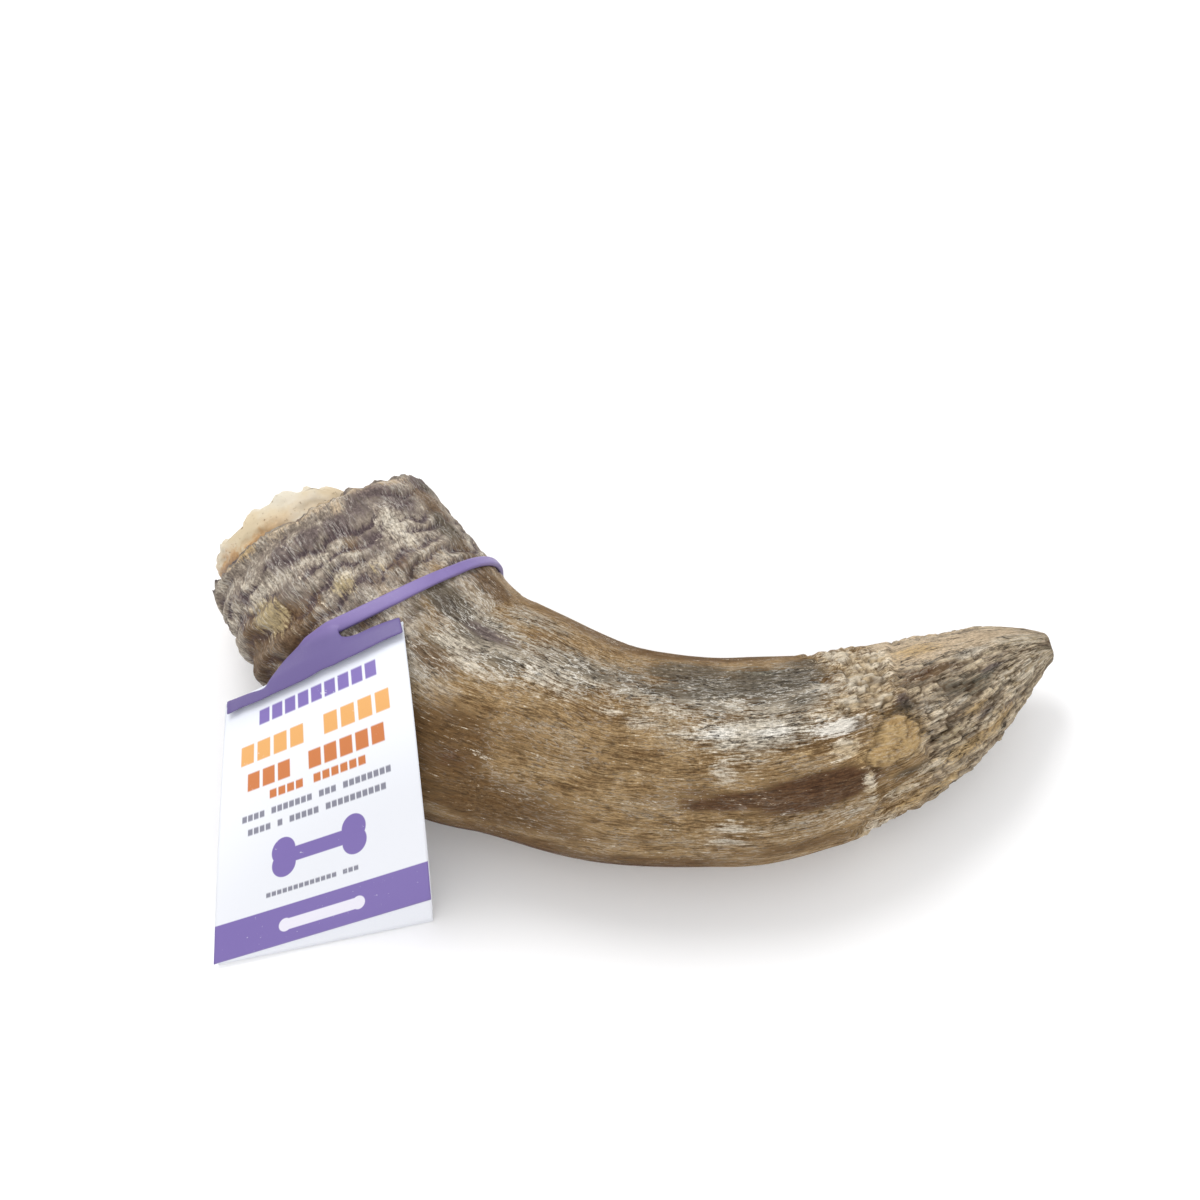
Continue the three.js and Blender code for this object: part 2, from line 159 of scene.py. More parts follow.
# The socket and the core in it.
WALL_OUTER = 1.9
WALL_INNER = 6.5
WALL_HEIGHT = 3.6
SOCKET_DEPTH = 26
SOCKET_TAPER = 0.42
CORE_GAP = 0.5
CORE_STANDS = 9
CORE_SUNK = 2.6
CORE_BREAK = (-0.85, -0.05)

# Splinters on the core's edge, as [degrees round it, half width in degrees, height].
CORE_SPLINTERS = [(8, 7, 1.8), (34, 6, 1.6), (68, 9, 0.8), (-24, 9, 0.9), (150, 12, 1.0)]

# The elastic band's course, as [degrees round the section, distance from the base].
BAND_COURSE = [
    (-180, 26), (-90, 29), (-60, 28), (-30, 26.6), (0, 24), (15, 22.6), (30, 21.2), (42, 21), (60, 22.4),
    (90, 24.4), (135, 25), (180, 26),
]
STRAP_CLEAR = 0.12
BAND_LOWEST = 0.15
WEB_CLEAR = 0.45

# The tag's corners, and how far its leaves bow out.
CARD_TOP_LEFT = Vector((-72.7, 8.1, 24))
CARD_TOP_RIGHT = Vector((-37.4, 15.6, 44.4))
FRONT_LOW_LEFT = Vector((-75.2, -36.2, 0.9))
FRONT_LOW_RIGHT = Vector((-33, -24.2, 5))
REAR_LOW_LEFT = Vector((-74.4, -35.9, 0.25))
REAR_LOW_RIGHT = Vector((-32.8, -26.8, 0.25))
CARD_BOW_LEFT = 6.5
CARD_BOW_RIGHT = 12.4
CARD_BOW_ACROSS = 4.8
CARD_BOW_LEANS = 0.09
REAR_SLACK = 38
FOLD_RADIUS = 0.55
TAG_ELEVATION = math.radians(62)
TAG_FACING = Vector((0, -math.cos(TAG_ELEVATION), math.sin(TAG_ELEVATION)))
TAG_UPWARD = Vector((0, math.sin(TAG_ELEVATION), math.cos(TAG_ELEVATION)))
CARD_NORMAL = (FRONT_LOW_RIGHT - FRONT_LOW_LEFT).cross(CARD_TOP_LEFT - FRONT_LOW_LEFT).normalized()
CARD_UP = (CARD_TOP_LEFT - FRONT_LOW_LEFT).normalized()
CARD_SHAPE = (CARD_TOP_LEFT - FRONT_LOW_LEFT).length / (FRONT_LOW_RIGHT - FRONT_LOW_LEFT).length

# The web's lower and upper edge in the plane that faces this way: [across, up].
WEB_LOWER = [
    (-72.3, 17.1), (-69.8, 18.3), (-67.3, 19.3), (-64.8, 20.3), (-63.2, 21.1), (-60.5, 22.3), (-57.8, 23.5),
    (-55.3, 24.7), (-52.9, 26.1), (-51.4, 26.7), (-50.6, 27), (-50, 27.3), (-49.2, 27.7), (-48, 28.3),
    (-46.6, 28.9), (-43.7, 30.3), (-40.7, 31.8), (-37.2, 33.3),
]
WEB_UPPER = [
    (-72.4, 19.7), (-70, 20.6), (-67.3, 21.6), (-64.6, 22.5), (-63.2, 24.4), (-60.7, 27.7), (-57.9, 30.6),
    (-55.4, 32.9), (-53, 34.7), (-51.6, 35.6), (-50.7, 35.5), (-50.1, 34.8), (-49.9, 33.6), (-49, 32.5),
    (-46.6, 32.8), (-43.7, 34.1), (-41.2, 35.1), (-38, 36.2),
]

# Painted shade: the web is coloured darker than the strap, from a slanting line down, for the shade that
# falls on it.
WEB_FALL = 1.1
WEB_PAINTED_SHADE_SLOPE = 0.36
WEB_PAINTED_SHADE_FROM = 53.4
WEB_PAINTED_SHADE_OVER = 3

# The band's strap and web are fused and softened by this much.
FUSE_VOXEL = 0.18
SOFTEN_ROUNDS = 16

# Colours of small marks and of the dirt and wear on the plain colours, and of the painted shade in hollows,
# on the band's web and at the card's head.
KNOB_SHADE = srgb(158, 129, 86)
CRACK_SHADE = srgb(50, 40, 32)
CREVICE_PAINTED_SHADE = srgb(92, 73, 52)
ELASTIC_BLOOM = srgb(150, 134, 186)
ELASTIC_DUST = srgb(176, 164, 205)
WEB_PAINTED_SHADE = srgb(96, 83, 134)
PAPER_SHADE = srgb(214, 218, 228)
PRINT_PAINTED_SHADE = srgb(206, 212, 224)
PILL_WHITE = srgb(240, 238, 246)

# The stage, in metres: where the camera looks, and where the two round lights hang.
CAMERA_TARGET = Vector((0, 0.034, 0.02))
CAMERA_SENSOR = 36
KEY_AT = Vector((-0.28, 0.42, 0.75))
KEY_WIDTH = 0.5
FILL_AT = Vector((0.55, -0.45, 0.5))
FILL_WIDTH = 0.6
FLOOR_HALF = 2.5
FLOOR_DROP = 0.0001

COLOUR = {"subtype": "COLOR", "size": 4}


class HornSizes(bpy.types.PropertyGroup):
    """Sizes of the horn's relief, in millimetres."""

    ridge_height: FloatProperty(
        name="Ridge height", description="Height of the growth ridges", default=0.6, min=0)
    ledge_height: FloatProperty(
        name="Ledge height", description="Height of the broken edge near the tip", default=1.0, min=0)
    fold_height: FloatProperty(
        name="Fold height", description="Height of the folds across the base", default=0.9, min=0)
    swelling: FloatProperty(
        name="Swelling", description="Height of the broad lumps of the surface", default=0.35, min=0)
    groove_depth: FloatProperty(
        name="Groove depth", description="Depth of the grooves along the fibres", default=0.09, min=0)
    crumb_size: FloatProperty(
        name="Crumb size", description="Height of the crumbs along the ledge", default=1.5, min=0)
    shard_size: FloatProperty(
        name="Shard size", description="Height of the broken fibre bundles at the tip", default=0.6, min=0)
    fray_length: FloatProperty(
        name="Fray length", description="Length of the frayed teeth of the rim", default=2.2, min=0)
    around: IntProperty(
        name="Around", description="Faces round the horn", default=216, min=24)


class HornColours(bpy.types.PropertyGroup):
    """Colours of the horn."""

    ochre: FloatVectorProperty(
        name="Ochre", description="Light parts of the body", default=srgb(160, 133, 94), **COLOUR)
    umber: FloatVectorProperty(
        name="Umber", description="Dark parts of the body", default=srgb(93, 67, 38), **COLOUR)
    grey: FloatVectorProperty(
        name="Grey", description="Weathered fibres", default=srgb(138, 128, 112), **COLOUR)
    pale: FloatVectorProperty(
        name="Pale", description="Bleached fibres", default=srgb(194, 184, 167), **COLOUR)
    slate: FloatVectorProperty(
        name="Slate", description="Dark grey fibres", default=srgb(76, 68, 56), **COLOUR)
    dun: FloatVectorProperty(
        name="Dun", description="Middle tone of the folds at the base", default=srgb(133, 121, 109), **COLOUR)
    plum: FloatVectorProperty(
        name="Plum", description="Creases of the folds at the base", default=srgb(88, 75, 76), **COLOUR)
    maroon: FloatVectorProperty(
        name="Maroon", description="Streaks of reddish horn", default=srgb(68, 39, 23), **COLOUR)
    cream: FloatVectorProperty(
        name="Cream", description="Crumbly fresh breaks", default=srgb(206, 189, 160), **COLOUR)
    amber: FloatVectorProperty(
        name="Amber", description="Smooth knob on the ledge", default=srgb(180, 152, 107), **COLOUR)
    tan: FloatVectorProperty(
        name="Tan", description="Smooth upper side of the tip", default=srgb(192, 171, 143), **COLOUR)
    moss: FloatVectorProperty(
        name="Moss", description="Greenish grey near the tip", default=srgb(104, 102, 90), **COLOUR)
    straw: FloatVectorProperty(
        name="Straw", description="Yellowish patches near the base", default=srgb(168, 151, 114), **COLOUR)
    chalk: FloatVectorProperty(
        name="Chalk", description="Whitest weathered patches", default=srgb(228, 223, 213), **COLOUR)


class CoreColours(bpy.types.PropertyGroup):
    """Colours of the bone core."""

    bone: FloatVectorProperty(
        name="Bone", description="Clean bone", default=srgb(206, 198, 180), **COLOUR)
    fat: FloatVectorProperty(
        name="Fat", description="Yellower bone", default=srgb(200, 183, 152), **COLOUR)
    rust: FloatVectorProperty(
        name="Rust", description="Stain at the horn", default=srgb(172, 124, 62), **COLOUR)
    blood: FloatVectorProperty(
        name="Blood", description="Darkest stain", default=srgb(112, 78, 40), **COLOUR)


class BandLooks(bpy.types.PropertyGroup):
    """Sizes and colour of the elastic band."""

    width: FloatProperty(name="Width", description="Width of the strap, in millimetres", default=2.7)
    thickness: FloatProperty(name="Thickness", description="Thickness of the strap", default=1.1)
    web_thickness: FloatProperty(name="Web", description="Thickness of the web", default=0.8)
    colour: FloatVectorProperty(
        name="Colour", description="Colour of the elastomer", default=srgb(117, 101, 154), **COLOUR)


class TagLooks(bpy.types.PropertyGroup):
    """Size and colours of the card tag."""

    thickness: FloatProperty(
        name="Thickness", description="Thickness of the card, in millimetres", default=0.44)
    paper: FloatVectorProperty(
        name="Paper", description="Coated card", default=srgb(232, 234, 240), **COLOUR)
    violet: FloatVectorProperty(
        name="Violet", description="Footer and figure", default=srgb(122, 104, 171), **COLOUR)
    peach: FloatVectorProperty(
        name="Peach", description="Upper title row", default=srgb(224, 166, 98), **COLOUR)
    copper: FloatVectorProperty(
        name="Copper", description="Lower title row", default=srgb(199, 119, 66), **COLOUR)
    ink: FloatVectorProperty(
        name="Ink", description="Small rows", default=srgb(132, 132, 146), **COLOUR)


class StageLooks(bpy.types.PropertyGroup):
    """The floor, the lights and the camera."""

    floor_colour: FloatVectorProperty(
        name="Floor", description="Pale floor", default=srgb(252, 252, 253), **COLOUR)
    sky: FloatProperty(name="Sky", description="Strength of the even light", default=0.92)
    key: FloatProperty(name="Key", description="Power of the main light", default=3.7, unit="POWER")
    fill: FloatProperty(
        name="Fill", description="Power of the light from the right", default=1.0, unit="POWER")
    camera_elevation: FloatProperty(
        name="Elevation", description="Height of the camera's view", subtype="ANGLE", default=TAG_ELEVATION)
    camera_distance: FloatProperty(
        name="Distance", description="From the camera to the horn", unit="LENGTH", default=0.6)
    lens: FloatProperty(name="Lens", description="Focal length, in millimetres", default=90)


def catmull_rom(points, share, even):
    """A point on the curve through points. Even spacing of the knots keeps sizes from overshooting."""
    last = len(points) - 1
    place = last * share
    i = min(int(place), last - 1)
    t = place - i
    start, end = points[i], points[i + 1]
    before = points[i - 1] if i > 0 else 2 * points[0] - points[1]
    after = points[i + 2] if i + 2 <= last else 2 * points[-1] - points[-2]
    gaps = [1, 1, 1] if even else [
        (b - a).length ** 0.5 for a, b in ((before, start), (start, end), (end, after))]
    first, middle, third = gaps
    leave = ((start - before) / first - (end - before) / (first + middle) + (end - start) / middle) * middle
    arrive = ((end - start) / middle - (after - start) / (middle + third) + (after - end) / third) * middle
    cubic = 3 * (end - start) - 2 * leave - arrive
    return start + leave * t + cubic * t ** 2 + (2 * (start - end) + leave + arrive) * t ** 3


class HornLine:
    """The horn's middle line, tabled by the distance from its base."""

    FINENESS = 800
    NUDGE = 1e-4
    PITCH = 0.25
    BEFORE = 16

    def __init__(self):
        self.centres = [Vector(centre) for centre, _, _ in STATIONS]
        self.sizes = [Vector((width, height)) for _, width, height in STATIONS]
        shares = steps(0, 1, self.FINENESS)
        points = [catmull_rom(self.centres, share, False) for share in shares]
        lengths = [0.0]
        for a, b in zip(points, points[1:]):
            lengths.append(lengths[-1] + (b - a).length)
        self.shares = shares
        self.lengths = lengths
        self.length = lengths[-1]
        rows = int((self.length + 2 * self.BEFORE) / self.PITCH)
        self.table = [self._section(i * self.PITCH - self.BEFORE) for i in range(rows)]

    def _section(self, distance):
        part = clamp(distance, 0, self.length)
        share = float(np.interp(part, self.lengths, self.shares))
        ahead = catmull_rom(self.centres, min(share + self.NUDGE, 1), False)
        behind = catmull_rom(self.centres, max(share - self.NUDGE, 0), False)
        forward = (ahead - behind).normalized()
        centre = catmull_rom(self.centres, share, False) + forward * (distance - part)
        up = (Vector((0, 0, 1)) - forward * forward.z).normalized()
        size = catmull_rom(self.sizes, share, True) / 2
        return centre, up, forward.cross(up), size

    def section(self, distance):
        """The centre, the upward and outward directions and the half sizes of the section there."""
        place = (distance + self.BEFORE) / self.PITCH
        row = int(clamp(place, 0, len(self.table) - 2))
        share = place - row
        return [a.lerp(b, share) for a, b in zip(self.table[row], self.table[row + 1])]


LINE = HornLine()


def degrees_round(angle):
    """Degrees from the top round to the outer side of the curve, from -180 to 180."""
    return math.degrees(math.atan2(math.sin(angle), math.cos(angle)))


def course_at(course, angle):
    """The distance from the base of a course that is given at some angles."""
    degrees = degrees_round(angle)
    for (start, near), (end, far) in zip(course, course[1:]):
        if degrees <= end:
            return lerp(near, far, (degrees - start) / (end - start))
    return course[-1][1]


def on_circle(angle, radius, height):
    return Vector((radius * math.cos(angle), radius * math.sin(angle), height))


def straightened(place, angle):
    """A point of the skin as if the horn were a straight rod, for patterns that follow its fibres."""
    return on_circle(angle, GIRTH, place)


def along_fibres(place, angle, around, along, seed=0.0):
    """Noise from -1 to 1 whose spots are this wide around the horn and this long along it."""
    point = straightened(place, angle)
    return noise.noise(Vector((point.x / around, point.y / around, point.z / along + seed)))


def rim_wave(angle):
    """The rim's broad waves."""
    return RIM_WAVE * (math.sin(3 * angle + 1) + 0.6 * math.sin(8 * angle))


def rim_tatter(angle):
    """The short uneven teeth of the torn rim."""
    broad = 1.2 * along_fibres(0, angle, 3.6, 1, 4.4)
    return broad + 0.6 * along_fibres(0, angle, 1.4, 1, 3.3) + 0.5 * along_fibres(0, angle, 0.6, 1, 8.1)


def ledge_tatter(angle):
    """The uneven teeth of the torn ledge."""
    return 2.6 * along_fibres(0, angle, 3.2, 1, 5.7) + 1.5 * along_fibres(0, angle, 1.3, 1, 1.9)


def ring_unleaned(ring, angle):
    """Where a growth ring lies before its lean: the torn edges shift the rings near them."""
    near_rim = 1 - smoothstep(abs(ring), 0, RIM_WAVE_FADE)
    at_rim = 1 - smoothstep(abs(ring), 0, RIM_TATTER_FADE)
    reach = LEDGE_REACH_BEFORE if ring < LEDGE_AT else LEDGE_REACH_PAST
    near_ledge = 1 - smoothstep(abs(ring - LEDGE_AT), 0, reach)
    at_ledge = 1 - smoothstep(abs(ring - LEDGE_AT), 0, LEDGE_TATTER_FADE)
    shift = (course_at(LEDGE_COURSE, angle) - LEDGE_AT) * near_ledge + ledge_tatter(angle) * at_ledge
    return ring + rim_wave(angle) * near_rim + rim_tatter(angle) * at_rim + shift


def lean(ring, angle):
    """How far a growth ring leans towards the tip on top, and back below."""
    return RING_LEAN * math.cos(angle) * (1 - smoothstep(ring, *LEAN_FADE))


def crest(ring, angle, height):
    """The height of the growth ridges' crests there."""
    return height * (0.6 + 0.4 * math.sin(angle)) * (1 - smoothstep(ring, *RIDGE_FADE))


def ridges(ring, angle, height):
    """The growth ridges across the fibres."""
    phase = 2 * math.pi * ring / RIDGE_PITCH + 0.9 * math.sin(2 * angle) + 0.5 * math.sin(5 * angle)
    return crest(ring, angle, height) * math.sin(phase + 1.3 * along_fibres(ring, angle, 9, 9, 2.2))


def fold(ring, angle):
    """The furry folds across the fibres, shallower here and there: 1 on a crest and 0 in a crease."""
    wander = 0.9 * along_fibres(ring, angle, 8, 7, 2.2) + 0.4 * along_fibres(ring, angle, 3, 3, 6.1)
    wander += 0.22 * along_fibres(ring, angle, 0.9, 3, 9.4)
    side = max(math.sin(angle - 0.2), -0.2)
    depth = smoothstep(along_fibres(ring, angle, 8, 5, 4.8) + 0.3 * side, -0.5, 0.2)
    depth *= 0.3 + 0.7 * smoothstep(ring + 6 * along_fibres(ring, angle, 5, 5, 7.2), 1.5, 5.5)
    return 1 - depth * (1 - abs(math.sin(math.pi * (ring / FOLD_PITCH + wander))))


def ledge(ring, angle, height):
    """The step down at the torn edge, which rises towards it and is gone some way past it."""
    rise = height * (0.35 + 0.55 * math.cos(angle - 0.6))
    past = ring - LEDGE_AT
    side = clamp(-past / 0.6, -1, 1)
    return rise * side * math.exp(-abs(past) / LEDGE_THICKENS_OVER)


def knob_reach(place, angle):
    """How far from the middle of the smooth knob and the small lump beside it: 1 at their outline."""
    degrees = degrees_round(angle)
    uneven = 0.1 * along_fibres(place, angle, 3.5, 3.5, 6.6)
    reaches = [
        math.hypot((place - at) / half_length, (degrees - at_degrees) / half_width)
        for at, at_degrees, half_length, half_width in (KNOB, KNOB_LUMP)]
    return min(reaches) + uneven


def knob(place, angle):
    """The smooth knob on the ledge: 1 on it and 0 round it."""
    return 1 - smoothstep(knob_reach(place, angle), 0.6, 1.0)


def knob_crack(place, angle):
    """Thin cracks across the knob and the crease round it: 1 in a crack."""
    degrees = degrees_round(angle)
    wander = 0.9 * along_fibres(place, angle, 1.6, 1.6, 3.9)
    crack_place, crack_degrees = KNOB_CRACKS
    lengthwise = abs(degrees - crack_degrees + 1.6 * (place - KNOB[0]) + 5 * wander) / 4
    crosswise = abs(place - crack_place + 0.05 * (degrees - crack_degrees) + wander) + 0.25
    inner = 1 - smoothstep(min(lengthwise, crosswise), 0.12, 0.55)
    reach = knob_reach(place, angle)
    outline = 0.9 * (1 - smoothstep(abs(reach - 1.06), 0.03, 0.2))
    return max(inner * (1 - smoothstep(reach, 0.8, 1.0)), outline)


def flap(place, angle):
    """The thin upright edge of the outer layer below the knob."""
    degrees = degrees_round(angle)
    bend = 0.9 * along_fibres(place, angle, 2.5, 9, 4.1)
    at, at_degrees, half_length, half_width = FLAP
    return math.exp(-((place - at + bend) / half_length) ** 2 - ((degrees - at_degrees) / half_width) ** 4)


def flakes(place, angle, around, along, seed):
    """Broken flakes this wide and long: 1 in the gap round one, and its height with its dome and tilt."""
    point = straightened(place, angle)
    wander = 0.45 * along_fibres(place, angle, 2 * around, 1.5 * along, seed)
    spot = Vector((point.x / around + wander, point.y / around + wander, point.z / along + seed))
    distances, points = noise.voronoi(spot)
    offset = spot - points[0]
    sideways = offset.y * math.cos(angle) - offset.x * math.sin(angle)
    lot, turn = noise.cell(points[0] * 37), noise.cell(points[0] * 91)
    dome = 1 - min(distances[0], 1) ** 2
    gap = 1 - smoothstep(distances[1] - distances[0], 0.02, 0.22)
    return gap, 0.6 * lot + 0.7 * dome + 0.7 * offset.z + 1.4 * (turn - 0.5) * sideways - 0.3


def crease(place, angle, around, along, seed, width):
    """Wandering creases between lumps this wide and long: 1 in a crease, and the lumps' own height."""
    lump = 2 * abs(along_fibres(place, angle, around, along, seed))
    return 1 - smoothstep(lump, 0.2 * width, width), lump


def crumb_zone(place, angle):
    """The crumbly stretch before the ledge, widest on the top."""
    degrees = degrees_round(angle)
    ragged = place + 4 * along_fibres(place, angle, 1.8, 4, 3.7)
    along = smoothstep(ragged, *CRUMBS_BEGIN) * (1 - smoothstep(ragged, *CRUMBS_END))
    on_top = math.exp(-((degrees + 22) / 48) ** 4)
    below = 0.5 * math.exp(-((abs(degrees) - 130) / 45) ** 2)
    return along * max(on_top, below)


def grooves(place, angle):
    """Grooves along the fibres, deeper here and there."""
    broad = along_fibres(place, angle, 1.7, 12, 1.1)
    deep = smoothstep(along_fibres(place, angle, 1.1, 9, 12.5), 0.28, 0.5)
    return broad + 0.6 * along_fibres(place, angle, 0.8, 7, 7.7) - 1.6 * deep


def relief(ring, place, angle, sizes):
    """How far the skin stands out, and the fold, hollow and bundle that its colours follow, partly as painted
    shade in creases and hollows and painted highlight on raised bundles.

    The fold runs from 0 in a crease to 1 on a crest and on the plain skin, and up to 2 on the knob.
    """
    knobbed = knob(place, angle)
    plain = 1 - knobbed
    folded = 1 - smoothstep(place, *FOLD_FADE)
    folds = fold(ring, angle)
    upright = flap(place, angle)
    # The hollow value is painted shade: how dark the colours paint the gaps between crumbs and flakes and the
    # knob's cracks.
    painted_hollow_shade = 0.0
    lot = 0.5
    lift = (
        ridges(ring, angle, sizes.ridge_height)
        + ledge(ring, angle, sizes.ledge_height)
        + sizes.swelling * along_fibres(place, angle, 13, 16, 3.1)
        + sizes.groove_depth * grooves(place, angle) * plain
        + sizes.fold_height * folded * (folds ** 0.7 - 0.7)
        + KNOB_HEIGHT * math.sqrt(max(1 - knob_reach(place, angle) ** 2, 0)) + FLAP_HEIGHT * upright
    )
    crumbly = crumb_zone(place, angle) * plain
    if crumbly > 0.02:
        slanted = place + 0.35 * GIRTH * math.sin(angle)
        wide, lump = crease(slanted, angle, 1.6, 5, 4.4, 0.22)
        gap, lot = flakes(slanted, angle, 1.3, 4.2, 3.3)
        painted_hollow_shade = 0.8 * crumbly * max(0.8 * wide, gap)
        lift += sizes.crumb_size * crumbly * (0.6 * lot + 0.5 * min(lump, 0.8) - 0.35 * gap - 0.45)
    broken = smoothstep(ring, LEDGE_AT - 0.5, LEDGE_AT + 2.5) * plain
    smooth_at, smooth_half = SMOOTH_SIDE
    broken *= 1 - 0.85 * math.exp(-((degrees_round(angle) - smooth_at) / smooth_half) ** 4)
    if broken > 0.02:
        gap, lot = flakes(place, angle, 1.5, 4.2, 1.3)
        fine_gap, small = flakes(place, angle, 0.8, 2, 6.3)
        clump = 0.3 + 0.7 * smoothstep(along_fibres(place, angle, 3.5, 6, 9.9), -0.25, 0.15)
        painted_hollow_shade = max(painted_hollow_shade, broken * clump * max(0.9 * gap, 0.35 * fine_gap))
        lift += sizes.shard_size * broken * (0.9 * lot + 0.3 * small - 0.4 * gap * clump - 0.55)
        lot = 0.6 * lot + 0.4 * small
    # The knob's cracks and the crease round it are dips that also get painted shade.
    sunk = knob_crack(place, angle)
    painted_hollow_shade = max(painted_hollow_shade, 0.7 * sunk)
    return lift - 0.5 * sunk, folds * folded + (1 - folded) + knobbed, painted_hollow_shade, lot


def chip(ring, angle):
    """How far the blunt tip is broken back where it has split."""
    split = math.exp(-((degrees_round(angle) - CHIP_AT) / CHIP_HALF_WIDTH) ** 2)
    return CHIP_DEPTH * split * smoothstep(ring, LINE.length - CHIP_LENGTH, LINE.length)


def lifted_point(section, angle, lift):
    """A point this far outside a section's lobed oval."""
    centre, up, out, half = section
    lobes = 1 + LOBE * math.cos(3 * (angle + LOBE_TURN))
    point = centre + up * (half.y * lobes + lift) * math.cos(angle)
    return point + out * (half.x * lobes + lift) * math.sin(angle)


def skin_point(ring, angle, sizes):
    """A point of the horn's outer skin, its place along the fibres, and what its colours follow."""
    place = ring_unleaned(ring, angle)
    section = LINE.section(place + lean(ring, angle))
    _, up, out, half = section
    lift, *looks = relief(ring, place, angle, sizes)
    lift *= clamp(half.x / THIN_HALF)
    point = lifted_point(section, angle, lift) - up.cross(out) * chip(ring, angle)
    point.z = max(point.z, 0)
    return point, place, looks


def socket_point(ring, angle, inset=0.0, fill=1.0):
    """A point of the socket's wall, or inside it where fill is under 1."""
    middle = (ring_unleaned(ring, math.pi / 2) + ring_unleaned(ring, -math.pi / 2)) / 2
    distance = lerp(middle, ring_unleaned(ring, angle) + lean(ring, angle), fill)
    centre, up, out, half = LINE.section(distance)
    taper = fill * (1 - SOCKET_TAPER * (max(ring, 0) / SOCKET_DEPTH) ** 2)
    width = taper * (half.x - (WALL_OUTER + WALL_INNER) / 2 - inset)
    height = taper * (half.y - WALL_HEIGHT - inset)
    shift = (WALL_INNER - WALL_OUTER) / 2
    return centre + up * height * math.cos(angle) + out * (width * math.sin(angle) + shift)


def wrapped_skin(around, rows, place_of, layers=("grain",), closed_along=False):
    """A grid bent into a tube. place_of gives a vertex's place and a value for each layer."""
    skin = bmesh.new()
    bmesh.ops.create_grid(skin, x_segments=around, y_segments=rows, size=1)
    stores = [skin.verts.layers.float_vector.new(name) for name in layers]
    for vert in skin.verts:
        angle = math.pi * (vert.co.x + 1)
        row = round((vert.co.y + 1) / 2 * rows)
        point, *values = place_of(row % rows if closed_along else row, angle)
        vert.co = point * MM
        for store, value in zip(stores, values):
            vert[store] = value
    bmesh.ops.remove_doubles(skin, verts=skin.verts, dist=1e-7)
    bmesh.ops.recalc_face_normals(skin, faces=skin.faces)
    for face in skin.faces:
        face.smooth = True
    return skin


def add_piece(name, mesh_source, nodes, materials):
    """A finished piece from a bmesh, riding on the part's body in place of CAD nodes."""
    mesh = bpy.data.meshes.new(name)
    mesh_source.to_mesh(mesh)
    mesh_source.free()
    piece = bpy.data.objects.new(name, mesh)
    bpy.context.scene.collection.objects.link(piece)
    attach(piece, BODY)
    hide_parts(*nodes)
    for material in materials:
        mesh.materials.append(material)
    return piece


def middle_of(points):
    return sum(points, Vector()) / len(points)


